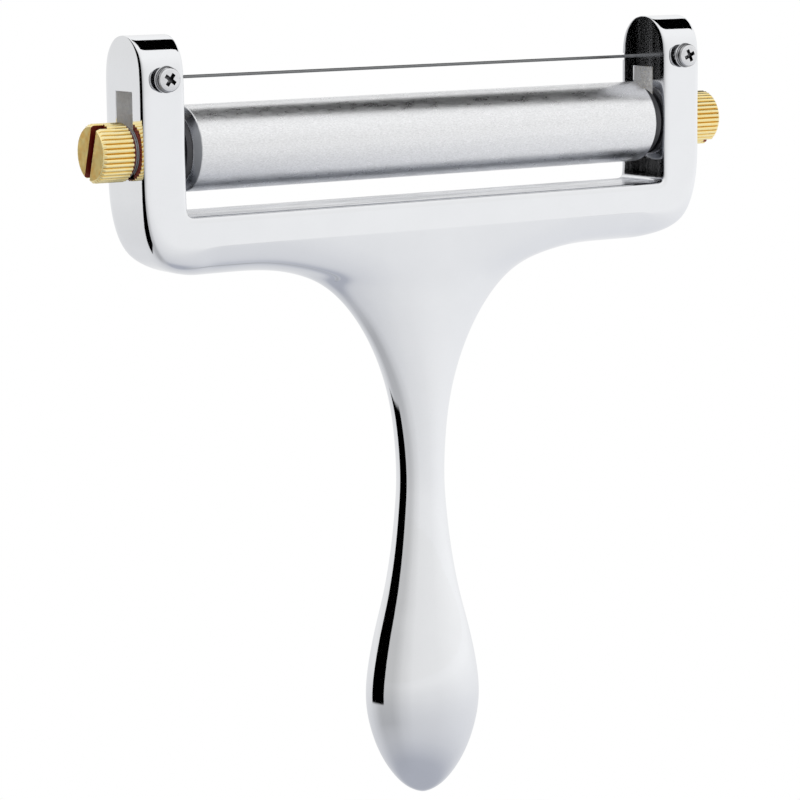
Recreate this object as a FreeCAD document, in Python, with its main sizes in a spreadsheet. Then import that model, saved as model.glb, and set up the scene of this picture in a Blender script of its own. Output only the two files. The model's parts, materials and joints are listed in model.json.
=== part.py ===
import FreeCAD
import Part
import Sketcher
import math
import os

# Adjustable wire cheese slicer: a cast yoke with a handle, a roller on an axle between the arms,
# and a taut wire above the roller. The axle slides in a slot in each arm and sets the slice.
# Millimetres. +X runs along the roller, +Z up the handle towards the roller, and -Y is the front,
# where the wire screws are. The origin is on the handle's axis, where the grip is thickest.

SIZES = {
    # Yoke
    "frame_width": 112.0,
    "frame_depth": 12.7,
    "arm_width": 7.7,
    "arm_height": 28.9,
    "tip_flat": 0.6,
    "bar_top": 85.0,
    "bar_height": 10.0,
    "bar_edge_radius": 5.0,
    "corner_radius": 10.0,
    "window_corner_radius": 1.2,
    "arm_edge_radius": 0.8,
    # Handle
    "flare_width": 61.0,
    "flare_setback": 0.15,
    "flare_sink": 0.9,
    "flare_overrun": 3.0,
    "neck_level": 38.0,
    "neck_width": 8.3,
    "neck_depth": 8.2,
    "grip_width": 20.8,
    "grip_depth": 17.0,
    "tip_drop": 19.0,
    # Roller, bushes and axle
    "roller_rise": 10.5,
    "roller_diameter": 14.0,
    "roller_bore": 11.0,
    "roller_end_gap": 1.4,
    "roller_chamfer": 1.1,
    "bush_flange": 1.0,
    "bush_flange_diameter": 11.6,
    "bush_length": 8.0,
    "bush_press_gap": 0.01,
    "axle_diameter": 8.0,
    "axle_running_gap": 0.05,
    "axle_end_gap": 0.05,
    "axle_chamfer": 0.4,
    # Thumb screws, their washers and the slots they pass through
    "slot_low": 6.3,
    "slot_high": 20.0,
    "slot_play": 0.15,
    "shank_diameter": 5.0,
    "shank_reach": 6.5,
    "thread_gap": 0.05,
    "tapped_spare": 2.5,
    "thumb_diameter": 9.5,
    "thumb_length": 5.95,
    "thumb_chamfer": 0.5,
    "thumb_slot_width": 1.7,
    "thumb_slot_depth": 2.0,
    "knurl_count": 36,
    "knurl_depth": 0.35,
    "knurl_width": 0.64,
    "washer_diameter": 8.6,
    "washer_thickness": 0.3,
    # Cutting wire, its grooves and its holes
    "wire_diameter": 0.55,
    "wire_drop": 7.3,
    "wire_inset": 0.5,
    "wire_bend_radius": 0.45,
    "wire_hole_diameter": 0.9,
    "wire_hole_offset": 1.62,
    "wire_eye_gap": 0.03,
    "wire_seat_gap": 0.01,
    "groove_width": 1.2,
    "groove_gap": 0.1,
    # Wire screws and their washers
    "wire_screw_drop": 6.8,
    "wire_screw_diameter": 2.0,
    "wire_screw_bite": 7.0,
    "wire_thread_gap": 0.02,
    "wire_head_diameter": 4.0,
    "wire_head_height": 1.2,
    "wire_head_rim": 0.6,
    "recess_span": 2.5,
    "recess_width": 0.74,
    "recess_depth": 0.8,
    "wire_washer_diameter": 4.3,
    "wire_washer_thickness": 0.3,
    "wire_washer_play": 0.15,
}

# How far the grip's swell has come down at a share of the way up from the grip to the neck
SWELL = ((0.0, 1.0), (0.22, 0.77), (0.37, 0.53), (0.5, 0.34), (0.67, 0.16), (0.84, 0.05), (1.0, 0.0))
# Shares of the way up from the neck to the bar at which the flare has a section
FLARE_SHARES = (0.25, 0.45, 0.62, 0.76, 0.87, 0.95, 1.0)
# Angles round the handle's rounded end, in degrees below the grip, and how fast it tapers
END_ANGLES = (0, 20, 40, 60, 75)
END_TAPER = 1.2
# Turn of each thumb screw about its axis, so that its slot leans
THUMB_LEAN = {"left": -18.0, "right": -22.0}
# Turn of each wire screw about its axis, so that its cross recess leans
RECESS_LEAN = {"left": -36.0, "right": 25.0}
# How far the wire's eye goes round its screw, in degrees
EYE_TURN = 290.0

# Lengths that several pieces share
HALF_WIDTH = "Sizes.frame_width / 2"
HALF_DEPTH = "Sizes.frame_depth / 2"
INNER = f"({HALF_WIDTH} - Sizes.arm_width)"
ARM_TIP = "(Sizes.bar_top + Sizes.arm_height)"
BAR_BOTTOM = "(Sizes.bar_top - Sizes.bar_height)"
AXLE_LEVEL = "(Sizes.bar_top + Sizes.roller_rise)"
WIRE_LEVEL = f"({ARM_TIP} - Sizes.wire_drop)"
WIRE_SCREW_LEVEL = f"({ARM_TIP} - Sizes.wire_screw_drop)"
WIRE_SCREW_ACROSS = f"({HALF_WIDTH} - Sizes.arm_width / 2)"
WIRE_HOLE_ACROSS = f"({WIRE_SCREW_ACROSS} - Sizes.wire_hole_offset)"
TUBE_HALF = f"({INNER} - Sizes.roller_end_gap)"
# Room that a cut takes outside the solid
OUTSIDE = 2.0

doc = FreeCAD.newDocument("WireSlicer")
sheet = doc.addObject("Spreadsheet::Sheet", "Sizes")
for row, (name, value) in enumerate(SIZES.items(), start=1):
    sheet.set(f"A{row}", name)
    sheet.set(f"B{row}", str(value))
    sheet.setAlias(f"B{row}", name)
doc.recompute()


def measure(expression):
    """The value of an expression in the sheet's names."""
    return float(sheet.evalExpression(expression))


def new_body(label):
    """An empty body for one piece."""
    body = doc.addObject("PartDesign::Body", label)
    body.Label = label
    return body


def origin_feature(body, role):
    """One of a body's own planes or axes."""
    return next(feature for feature in body.Origin.OriginFeatures if feature.Role == role)


def new_sketch(body, name, role, offset=None):
    """A sketch on one of the body's planes, moved along the plane's normal by an expression."""
    sketch = body.newObject("Sketcher::SketchObject", name)
    sketch.AttachmentSupport = [(origin_feature(body, role), "")]
    sketch.MapMode = "FlatFace"
    if offset:
        sketch.AttachmentOffset = FreeCAD.Placement(
            FreeCAD.Vector(0, 0, measure(offset)), FreeCAD.Rotation())
        sketch.setExpression("AttachmentOffset.Base.z", offset)
    return sketch


def bind(sketch, kind, geometry, point, expression):
    """Hold one coordinate of a sketch point at an expression."""
    if expression == "0":
        axis = -2 if kind == "DistanceX" else -1
        sketch.addConstraint(Sketcher.Constraint("PointOnObject", geometry, point, axis))
        return
    value = measure(expression)
    number = sketch.addConstraint(Sketcher.Constraint(kind, -1, 1, geometry, point, value))
    sketch.setExpression(f"Constraints[{number}]", expression)


def draw_outline(sketch, corners):
    """A closed outline of straight lines through corners given as pairs of expressions."""
    places = [FreeCAD.Vector(measure(across), measure(up), 0) for across, up in corners]
    first = sketch.GeometryCount
    count = len(places)
    for index, start in enumerate(places):
        sketch.addGeometry(Part.LineSegment(start, places[(index + 1) % count]), False)
    for index in range(count):
        following = first + (index + 1) % count
        sketch.addConstraint(Sketcher.Constraint("Coincident", first + index, 2, following, 1))
    for index, (across, up) in enumerate(corners):
        bind(sketch, "DistanceX", first + index, 1, across)
        bind(sketch, "DistanceY", first + index, 1, up)


def draw_rounded(sketch, corners):
    """A closed outline of level and upright lines whose corners may be rounded.

    Each corner is (across, up, radius), in expressions, with no radius where it is sharp.
    """
    places = [FreeCAD.Vector(measure(across), measure(up), 0) for across, up, _ in corners]
    radii = [measure(radius) if radius else 0.0 for _, _, radius in corners]
    first = sketch.GeometryCount
    count = len(corners)
    for index in range(count):
        start, end = places[index], places[(index + 1) % count]
        along = (end - start).normalize()
        start = start + along * radii[index]
        end = end - along * radii[(index + 1) % count]
        line = sketch.addGeometry(Part.LineSegment(start, end), False)
        level = abs(along.x) > abs(along.y)
        sketch.addConstraint(Sketcher.Constraint("Horizontal" if level else "Vertical", line))
        if level:
            bind(sketch, "DistanceY", line, 1, corners[index][1])
        else:
            bind(sketch, "DistanceX", line, 1, corners[index][0])
    for index, (_, _, radius) in enumerate(corners):
        before, after = first + (index - 1) % count, first + index
        if not radius:
            sketch.addConstraint(Sketcher.Constraint("Coincident", before, 2, after, 1))
            continue
        round_corner(sketch, places, radii[index], index, before, after, radius)


def round_corner(sketch, places, size, index, before, after, radius):
    """The arc between two lines of an outline, tangent to both."""
    corner = places[index]
    towards_last = (places[index - 1] - corner).normalize()
    towards_next = (places[(index + 1) % len(places)] - corner).normalize()
    centre = corner + (towards_last + towards_next) * size
    middle = centre - (towards_last + towards_next).normalize() * size
    shape = Part.Arc(corner + towards_last * size, middle, corner + towards_next * size)
    arc = sketch.addGeometry(shape, False)
    turns_left = towards_last.cross(towards_next).z < 0
    begin, finish = (1, 2) if turns_left else (2, 1)
    sketch.addConstraint(Sketcher.Constraint("Tangent", before, 2, arc, begin))
    sketch.addConstraint(Sketcher.Constraint("Tangent", arc, finish, after, 1))
    number = sketch.addConstraint(Sketcher.Constraint("Radius", arc, size))
    sketch.setExpression(f"Constraints[{number}]", radius)


def draw_circle(sketch, across, up, diameter):
    """A circle whose centre and diameter are expressions."""
    centre = FreeCAD.Vector(measure(across), measure(up), 0)
    circle = sketch.addGeometry(
        Part.Circle(centre, FreeCAD.Vector(0, 0, 1), measure(diameter) / 2), False)
    bind(sketch, "DistanceX", circle, 3, across)
    bind(sketch, "DistanceY", circle, 3, up)
    number = sketch.addConstraint(Sketcher.Constraint("Diameter", circle, measure(diameter)))
    sketch.setExpression(f"Constraints[{number}]", diameter)


def pad(body, sketch, length, symmetric=False):
    """Material along a sketch's normal."""
    feature = body.newObject("PartDesign::Pad", sketch.Name + "_pad")
    feature.Profile = sketch
    feature.SideType = "Symmetric" if symmetric else "One side"
    feature.setExpression("Length", length)
    doc.recompute()
    return feature


def pocket(body, sketch, length=None, towards_normal=False):
    """A cut from a sketch, to a depth, or right through both ways when it has none."""
    before = body.Shape.Volume
    feature = body.newObject("PartDesign::Pocket", sketch.Name + "_pocket")
    feature.Profile = sketch
    if length:
        feature.Reversed = towards_normal
        feature.setExpression("Length", length)
    else:
        feature.Type = "ThroughAll"
        feature.SideType = "Symmetric"
    doc.recompute()
    if body.Shape.Volume >= before:
        raise RuntimeError(f"{feature.Name} cuts nothing")
    return feature


def turn(body, sketch):
    """A full turn of a sketch about its level axis."""
    feature = body.newObject("PartDesign::Revolution", sketch.Name + "_turn")
    feature.Profile = sketch
    feature.ReferenceAxis = (sketch, ["H_Axis"])
    doc.recompute()
    return feature


def place(piece, across, depth, level, rotation=None):
    """Set a piece's place by expressions."""
    values = [measure(text) for text in (across, depth, level)]
    piece.Placement = FreeCAD.Placement(FreeCAD.Vector(*values), rotation or FreeCAD.Rotation())
    for letter, text in zip("xyz", (across, depth, level)):
        piece.setExpression(f"Placement.Base.{letter}", text)


def outward(side, lean=0.0):
    """The turn that points a piece's own +X out of one side of the yoke."""
    facing = FreeCAD.Rotation(FreeCAD.Vector(0, 0, 1), 180 if side == "left" else 0)
    return facing.multiply(FreeCAD.Rotation(FreeCAD.Vector(1, 0, 0), lean))


def make_yoke():
    """The two arms and the bar between them, with the slots, grooves and holes in the arms."""
    body = new_body("yoke")
    side = new_sketch(body, "yoke_side", "YZ_Plane")
    tip_radius = f"({HALF_DEPTH} - Sizes.tip_flat / 2)"
    draw_rounded(side, [
        (f"-{HALF_DEPTH}", BAR_BOTTOM, "Sizes.bar_edge_radius"),
        (HALF_DEPTH, BAR_BOTTOM, "Sizes.bar_edge_radius"),
        (HALF_DEPTH, ARM_TIP, tip_radius),
        (f"-{HALF_DEPTH}", ARM_TIP, tip_radius),
    ])
    pad(body, side, "Sizes.frame_width", symmetric=True)
    soften(body, "outer_edges", HALF_WIDTH)
    round_corners(body)
    cut_window(body)
    soften(body, "inner_edges", INNER)
    cut_slots(body)
    cut_wire_seats(body)
    return body


def soften(body, name, across):
    """Break the edges that lie in the two upright planes at a distance to left and right."""
    base = body.Tip
    distance = measure(across)
    touch = 0.001
    names = []
    for number, edge in enumerate(base.Shape.Edges, start=1):
        box = edge.BoundBox
        if box.XLength < touch and abs(abs(box.Center.x) - distance) < touch:
            if edge.Length > touch and box.ZLength > touch:
                names.append(f"Edge{number}")
    fillet = body.newObject("PartDesign::Fillet", name)
    fillet.Base = (base, names)
    fillet.setExpression("Radius", "Sizes.arm_edge_radius")
    doc.recompute()


def round_corners(body):
    """Round the bar's two lower corners, as seen from the front."""
    corners = new_sketch(body, "yoke_corners", "XZ_Plane")
    above = f"({ARM_TIP} + {OUTSIDE})"
    draw_rounded(corners, [
        (f"-{HALF_WIDTH}", BAR_BOTTOM, "Sizes.corner_radius"),
        (HALF_WIDTH, BAR_BOTTOM, "Sizes.corner_radius"),
        (HALF_WIDTH, above, None),
        (f"-{HALF_WIDTH}", above, None),
    ])
    room = f"({HALF_WIDTH} + {OUTSIDE})"
    draw_rounded(corners, [
        (f"-{room}", f"({BAR_BOTTOM} - {OUTSIDE})", None),
        (room, f"({BAR_BOTTOM} - {OUTSIDE})", None),
        (room, f"({above} + {OUTSIDE})", None),
        (f"-{room}", f"({above} + {OUTSIDE})", None),
    ])
    pocket(body, corners)


def cut_window(body):
    """The open space between the arms, above the bar."""
    window = new_sketch(body, "window", "XZ_Plane")
    above = f"({ARM_TIP} + {OUTSIDE})"
    draw_rounded(window, [
        (f"-{INNER}", "Sizes.bar_top", "Sizes.window_corner_radius"),
        (INNER, "Sizes.bar_top", "Sizes.window_corner_radius"),
        (INNER, above, None),
        (f"-{INNER}", above, None),
    ])
    pocket(body, window)


def cut_slots(body):
    """The slot through each arm that the thumb screw's shank slides in."""
    slots = new_sketch(body, "axle_slots", "YZ_Plane")
    half = "(Sizes.shank_diameter / 2 + Sizes.slot_play)"
    low = "(Sizes.bar_top + Sizes.slot_low)"
    high = "(Sizes.bar_top + Sizes.slot_high)"
    draw_rounded(slots, [(f"-{half}", low, None), (half, low, None),
                         (half, high, None), (f"-{half}", high, None)])
    pocket(body, slots)


def cut_wire_seats(body):
    """The groove in each arm's back, the wire's hole to the front, and the tapped screw hole."""
    grooves = new_sketch(body, "wire_grooves", "XZ_Plane", f"-{HALF_DEPTH}")
    holes = new_sketch(body, "wire_holes", "XZ_Plane")
    taps = new_sketch(body, "wire_taps", "XZ_Plane", HALF_DEPTH)
    low = f"({WIRE_LEVEL} - Sizes.groove_width / 2)"
    high = f"({WIRE_LEVEL} + Sizes.groove_width / 2)"
    near = f"({INNER} - {OUTSIDE})"
    far = f"({WIRE_HOLE_ACROSS} + Sizes.wire_hole_diameter / 2)"
    for sign in ("-", ""):
        draw_outline(grooves, [(f"{sign}{near}", low), (f"{sign}{far}", low),
                               (f"{sign}{far}", high), (f"{sign}{near}", high)])
        draw_circle(holes, f"{sign}{WIRE_HOLE_ACROSS}", WIRE_LEVEL, "Sizes.wire_hole_diameter")
        draw_circle(taps, f"{sign}{WIRE_SCREW_ACROSS}", WIRE_SCREW_LEVEL,
                    "Sizes.wire_screw_diameter + 2 * Sizes.wire_thread_gap")
    groove_depth = "Sizes.wire_inset + Sizes.wire_diameter / 2 + Sizes.groove_gap"
    pocket(body, grooves, groove_depth, towards_normal=True)
    pocket(body, holes)
    pocket(body, taps, "Sizes.wire_screw_bite + Sizes.wire_thread_gap")


def oval(half_width, half_depth, level):
    """A level oval ring about the handle's axis."""
    ring = Part.Wire([Part.Circle().toShape()])
    stretch = FreeCAD.Matrix()
    stretch.A11, stretch.A22 = half_width, half_depth
    ring = ring.transformGeometry(stretch)
    ring.translate(FreeCAD.Vector(0, 0, level))
    return ring


def make_handle_end():
    """The handle's rounded end: a turned dome, pressed oval to the grip's width and depth."""
    half_width = measure("Sizes.grip_width / 2")
    drop = measure("Sizes.tip_drop")
    places = []
    for angle in END_ANGLES:
        narrow = math.cos(math.radians(angle)) ** END_TAPER
        places.append(FreeCAD.Vector(half_width * narrow, 0, -drop * math.sin(math.radians(angle))))
    places.append(FreeCAD.Vector(0, 0, -drop))
    side = Part.BSplineCurve()
    side.interpolate(places, InitialTangent=FreeCAD.Vector(0, 0, -1),
                     FinalTangent=FreeCAD.Vector(-1, 0, 0))
    centre = FreeCAD.Vector(0, 0, 0)
    outline = Part.Wire([side.toShape(), Part.makeLine(places[-1], centre),
                         Part.makeLine(centre, places[0])])
    dome = Part.Face(outline).revolve(centre, FreeCAD.Vector(0, 0, 1), 360)
    press = FreeCAD.Matrix()
    press.A22 = measure("Sizes.grip_depth / Sizes.grip_width")
    end = doc.addObject("Part::Feature", "handle_end")
    end.Shape = dome.transformGeometry(press)
    return end


def handle_sections():
    """The handle's oval sections, from the grip up to the bar and a little way into it."""
    grip = measure("Sizes.grip_width / 2"), measure("Sizes.grip_depth / 2")
    neck = measure("Sizes.neck_width / 2"), measure("Sizes.neck_depth / 2")
    root = measure("Sizes.flare_width / 2"), measure(f"{HALF_DEPTH} - Sizes.flare_setback")
    neck_level, root_level = measure("Sizes.neck_level"), measure(BAR_BOTTOM)
    sections = []
    for share, swell in SWELL:
        sections.append(oval(neck[0] + (grip[0] - neck[0]) * swell,
                             neck[1] + (grip[1] - neck[1]) * swell, neck_level * share))
    for share in FLARE_SHARES:
        spread = 1 - math.sqrt(1 - share ** 2)
        sections.append(oval(neck[0] + (root[0] - neck[0]) * spread,
                             neck[1] + (root[1] - neck[1]) * share ** 3,
                             neck_level + (root_level - neck_level) * share))
    sink, overrun = measure("Sizes.flare_sink"), measure("Sizes.flare_overrun")
    sections.append(oval(root[0] + overrun, root[1], root_level + sink))
    return sections


def make_handle():
    """The handle: ovals of changing shape, which no single sketch can turn or pad."""
    handle = doc.addObject("Part::Feature", "handle")
    handle.Shape = Part.makeLoft(handle_sections(), True)
    return handle


def make_root(handle):
    """The short oval stem that carries the handle's top into the bar."""
    top = max(handle.Shape.Faces, key=lambda face: face.CenterOfMass.z)
    stem = doc.addObject("Part::Feature", "handle_root")
    rise = measure("Sizes.bar_edge_radius - Sizes.flare_sink")
    stem.Shape = top.extrude(FreeCAD.Vector(0, 0, rise))
    return stem


def make_frame():
    """The casting: yoke and handle in one piece."""
    handle = make_handle()
    frame = doc.addObject("Part::MultiFuse", "frame")
    frame.Label = "frame"
    frame.Shapes = [make_yoke(), make_root(handle), handle, make_handle_end()]
    frame.Refine = True
    return frame


def make_roller_tube():
    """The roller: a plain tube with chamfered ends."""
    body = new_body("roller_tube")
    section = new_sketch(body, "roller_section", "XY_Plane")
    bore, skin = "Sizes.roller_bore / 2", "Sizes.roller_diameter / 2"
    edge = f"({skin} - Sizes.roller_chamfer)"
    shoulder = f"({TUBE_HALF} - Sizes.roller_chamfer)"
    draw_outline(section, [
        (f"-{TUBE_HALF}", bore), (TUBE_HALF, bore), (TUBE_HALF, edge), (shoulder, skin),
        (f"-{shoulder}", skin), (f"-{TUBE_HALF}", edge),
    ])
    turn(body, section)
    place(body, "0", "0", AXLE_LEVEL)
    return body


def make_bush(side):
    """A flanged bush, pressed into one end of the roller and running on the axle."""
    label = f"{side}_roller_bush"
    body = new_body(label)
    section = new_sketch(body, f"{label}_section", "XY_Plane")
    hole = "(Sizes.axle_diameter / 2 + Sizes.axle_running_gap)"
    sleeve = "(Sizes.roller_bore / 2 - Sizes.bush_press_gap)"
    flange = "Sizes.bush_flange_diameter / 2"
    draw_outline(section, [
        ("-Sizes.bush_length", hole), ("Sizes.bush_flange", hole), ("Sizes.bush_flange", flange),
        ("0", flange), ("0", sleeve), ("-Sizes.bush_length", sleeve),
    ])
    turn(body, section)
    sign = "-" if side == "left" else ""
    place(body, f"{sign}{TUBE_HALF}", "0", AXLE_LEVEL, outward(side))
    return body


def make_axle():
    """The axle: a rod with chamfered ends, and a tapped hole in each for a thumb screw."""
    body = new_body("roller_axle")
    section = new_sketch(body, "axle_section", "XY_Plane")
    half = f"({INNER} - Sizes.axle_end_gap)"
    skin = "Sizes.axle_diameter / 2"
    shoulder = f"({half} - Sizes.axle_chamfer)"
    rim = f"({skin} - Sizes.axle_chamfer)"
    tap = "(Sizes.shank_diameter / 2 + Sizes.thread_gap)"
    floor = f"({half} - Sizes.shank_reach - Sizes.tapped_spare)"
    draw_outline(section, [
        (f"-{floor}", "0"), (floor, "0"), (floor, tap), (half, tap), (half, rim),
        (shoulder, skin), (f"-{shoulder}", skin), (f"-{half}", rim), (f"-{half}", tap),
        (f"-{floor}", tap),
    ])
    turn(body, section)
    place(body, "0", "0", AXLE_LEVEL)
    return body


def make_thumb_screw(side):
    """A thumb screw: a knurled, slotted head on a shank that reaches into the axle."""
    label = f"{side}_thumb_screw"
    body = new_body(label)
    section = new_sketch(body, f"{label}_section", "XY_Plane")
    shank = "Sizes.shank_diameter / 2"
    skin = "Sizes.thumb_diameter / 2"
    rim = f"({skin} - Sizes.thumb_chamfer)"
    reach = "-(Sizes.washer_thickness + Sizes.arm_width + Sizes.axle_end_gap + Sizes.shank_reach)"
    draw_outline(section, [
        (reach, "0"), ("Sizes.thumb_length", "0"), ("Sizes.thumb_length", rim),
        ("Sizes.thumb_length - Sizes.thumb_chamfer", skin), ("Sizes.thumb_chamfer", skin),
        ("0", rim), ("0", shank), (reach, shank),
    ])
    turn(body, section)
    cut_driver_slot(body, label)
    knurl(body, label)
    sign = "-" if side == "left" else ""
    place(body, f"{sign}({HALF_WIDTH} + Sizes.washer_thickness)", "0", AXLE_LEVEL,
          outward(side, THUMB_LEAN[side]))
    return body


def cut_driver_slot(body, label):
    """The slot across a thumb screw's end, for a coin or a driver."""
    slot = new_sketch(body, f"{label}_slot", "YZ_Plane", "Sizes.thumb_length")
    half = "Sizes.thumb_slot_width / 2"
    span = f"(Sizes.thumb_diameter / 2 + {OUTSIDE})"
    draw_outline(slot, [(f"-{half}", f"-{span}"), (half, f"-{span}"), (half, span),
                        (f"-{half}", span)])
    pocket(body, slot, "Sizes.thumb_slot_depth")


def knurl(body, label):
    """The straight grooves round a thumb screw's head."""
    notch = new_sketch(body, f"{label}_notch", "YZ_Plane")
    root = "(Sizes.thumb_diameter / 2 - Sizes.knurl_depth)"
    mouth = "(Sizes.thumb_diameter / 2 + Sizes.knurl_depth)"
    draw_outline(notch, [("0", root), ("Sizes.knurl_width", mouth), ("-Sizes.knurl_width", mouth)])
    groove = pocket(body, notch, "Sizes.thumb_length", towards_normal=True)
    pattern = body.newObject("PartDesign::PolarPattern", f"{label}_knurl")
    pattern.Originals = [groove]
    pattern.Axis = (origin_feature(body, "X_Axis"), [""])
    pattern.Angle = 360
    pattern.setExpression("Occurrences", "Sizes.knurl_count")
    body.Tip = pattern
    doc.recompute()


def make_washer(label, bore, diameter, thickness):
    """A plain ring, padded along +X."""
    body = new_body(label)
    ring = new_sketch(body, f"{label}_ring", "YZ_Plane")
    draw_circle(ring, "0", "0", diameter)
    draw_circle(ring, "0", "0", bore)
    pad(body, ring, thickness)
    return body


def make_thumb_washer(side):
    """The washer between an arm and its thumb screw."""
    washer = make_washer(f"{side}_thumb_washer", "Sizes.shank_diameter + 2 * Sizes.thread_gap",
                         "Sizes.washer_diameter", "Sizes.washer_thickness")
    sign = "-" if side == "left" else ""
    place(washer, f"{sign}{HALF_WIDTH}", "0", AXLE_LEVEL, outward(side))
    return washer


def forward(lean=0.0):
    """The turn that points a piece's own +X out of the yoke's front."""
    facing = FreeCAD.Rotation(FreeCAD.Vector(0, 0, 1), -90)
    return facing.multiply(FreeCAD.Rotation(FreeCAD.Vector(1, 0, 0), lean))


WIRE_WASHER_SEAT = f"(-{HALF_DEPTH} - Sizes.wire_diameter - 2 * Sizes.wire_seat_gap)"


def make_wire_washer(side):
    """The washer that clamps the wire's eye under its screw."""
    bore = "Sizes.wire_screw_diameter + 2 * Sizes.wire_washer_play"
    washer = make_washer(f"{side}_wire_washer", bore, "Sizes.wire_washer_diameter",
                         "Sizes.wire_washer_thickness")
    sign = "-" if side == "left" else ""
    place(washer, f"{sign}{WIRE_SCREW_ACROSS}", WIRE_WASHER_SEAT, WIRE_SCREW_LEVEL, forward())
    return washer


def make_wire_screw(side):
    """A pan-head screw with a cross recess, which holds one end of the wire."""
    label = f"{side}_wire_screw"
    body = new_body(label)
    section = new_sketch(body, f"{label}_section", "XY_Plane")
    shank = "Sizes.wire_screw_diameter / 2"
    skin = "Sizes.wire_head_diameter / 2"
    crown = f"({skin} - Sizes.wire_head_height + Sizes.wire_head_rim)"
    reach = ("-(Sizes.wire_washer_thickness + Sizes.wire_diameter + 2 * Sizes.wire_seat_gap"
             " + Sizes.wire_screw_bite)")
    draw_outline(section, [
        (reach, "0"), ("Sizes.wire_head_height", "0"), ("Sizes.wire_head_height", crown),
        ("Sizes.wire_head_rim", skin), ("0", skin), ("0", shank), (reach, shank),
    ])
    turn(body, section)
    recess = new_sketch(body, f"{label}_recess", "YZ_Plane", "Sizes.wire_head_height")
    arm, half = "Sizes.recess_span / 2", "Sizes.recess_width / 2"
    draw_outline(recess, [
        (half, half), (arm, half), (arm, f"-{half}"), (half, f"-{half}"), (half, f"-{arm}"),
        (f"-{half}", f"-{arm}"), (f"-{half}", f"-{half}"), (f"-{arm}", f"-{half}"),
        (f"-{arm}", half), (f"-{half}", half), (f"-{half}", arm), (half, arm),
    ])
    pocket(body, recess, "Sizes.recess_depth")
    sign = "-" if side == "left" else ""
    seat = f"({WIRE_WASHER_SEAT} - Sizes.wire_washer_thickness)"
    place(body, f"{sign}{WIRE_SCREW_ACROSS}", seat, WIRE_SCREW_LEVEL, forward(RECESS_LEAN[side]))
    return body


def wire_end_route(sign):
    """One end of the wire, from its straight run: in at the back, to the front, round the screw."""
    bend = measure("Sizes.wire_bend_radius")
    radius = measure("Sizes.wire_diameter / 2")
    depth = measure(f"{HALF_DEPTH} - Sizes.wire_inset")
    front = -measure(f"{HALF_DEPTH} + Sizes.wire_seat_gap") - radius
    eye = measure("Sizes.wire_screw_diameter / 2 + Sizes.wire_eye_gap") + radius
    level = measure(WIRE_LEVEL)
    hole = FreeCAD.Vector(sign * measure(WIRE_HOLE_ACROSS), 0, level)
    screw = FreeCAD.Vector(sign * measure(WIRE_SCREW_ACROSS), 0, measure(WIRE_SCREW_LEVEL))
    away = screw - hole
    lift = math.asin(eye / away.Length) * sign
    heading = FreeCAD.Rotation(FreeCAD.Vector(0, -1, 0), math.degrees(lift)).multVec(away)
    heading.normalize()
    tangent_run = math.sqrt(away.Length ** 2 - eye ** 2)
    along = FreeCAD.Vector(sign, 0, 0)
    ahead = FreeCAD.Vector(0, -1, 0)
    back_corner = FreeCAD.Vector(hole.x, depth, level)
    front_corner = FreeCAD.Vector(hole.x, front, level)
    eye_centre = FreeCAD.Vector(screw.x, front, screw.z)
    eye_start = front_corner + heading * tangent_run
    edges = [
        corner_arc(back_corner, along, ahead, bend),
        Part.LineSegment(back_corner + ahead * bend, front_corner - ahead * bend),
        corner_arc(front_corner, ahead, heading, bend),
        Part.LineSegment(front_corner + heading * bend, eye_start),
        eye_arc(eye_centre, eye_start, sign),
    ]
    return back_corner - along * bend, [edge.toShape() for edge in edges]


def corner_arc(corner, arriving, leaving, radius):
    """The arc that rounds a square corner of the wire's route."""
    centre = corner + (leaving - arriving) * radius
    middle = centre + (arriving - leaving).normalize() * radius
    return Part.Arc(corner - arriving * radius, middle, corner + leaving * radius)


def eye_arc(centre, start, sign):
    """The wire's eye, round its screw from the start."""
    spoke = start - centre
    axis = FreeCAD.Vector(0, sign, 0)
    places = [centre + FreeCAD.Rotation(axis, share * EYE_TURN).multVec(spoke)
              for share in (0, 0.5, 1)]
    return Part.Arc(*places)


def make_cutting_wire():
    """The wire, made whole along its route between the two screws."""
    left_start, left_edges = wire_end_route(-1)
    right_start, right_edges = wire_end_route(1)
    run = Part.LineSegment(left_start, right_start).toShape()
    route = Part.Wire(Part.__sortEdges__([*left_edges, run, *right_edges]))
    first = route.OrderedEdges[0]
    begin = first.valueAt(first.FirstParameter)
    heading = first.tangentAt(first.FirstParameter)
    radius = measure("Sizes.wire_diameter / 2")
    section = Part.Wire([Part.Circle(begin, heading, radius).toShape()])
    wire = doc.addObject("Part::Feature", "cutting_wire")
    wire.Label = "cutting_wire"
    wire.Shape = route.makePipeShell([section], True, False)
    full = math.pi * radius ** 2 * route.Length
    if abs(wire.Shape.Volume / full - 1) > 0.01:
        raise RuntimeError("the cutting wire's volume does not match its length")
    return wire


def make_pieces():
    """Every piece of the slicer."""
    pieces = [make_frame(), make_roller_tube(), make_axle(), make_cutting_wire()]
    for side in ("left", "right"):
        pieces.append(make_bush(side))
        pieces.append(make_thumb_screw(side))
        pieces.append(make_thumb_washer(side))
        pieces.append(make_wire_screw(side))
        pieces.append(make_wire_washer(side))
    doc.recompute()
    return pieces


def write_pieces(pieces):
    """Check every object, then write each piece to its own file."""
    for item in doc.Objects:
        if "Invalid" in item.State or "Error" in item.State:
            raise RuntimeError(f"{item.Name} failed: {item.State}")
    for piece in pieces:
        shape = piece.Shape
        if shape.isNull() or not shape.isValid() or len(shape.Solids) != 1:
            raise RuntimeError(f"{piece.Label} is not one sound solid")
    os.makedirs("parts", exist_ok=True)
    for piece in pieces:
        piece.Shape.exportStep(f"parts/{piece.Label}.step")
        box = piece.Shape.BoundBox
        print(piece.Label, round(piece.Shape.Volume, 3), [round(value, 2) for value in (
            box.XMin, box.XMax, box.YMin, box.YMax, box.ZMin, box.ZMax)])


write_pieces(make_pieces())
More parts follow.
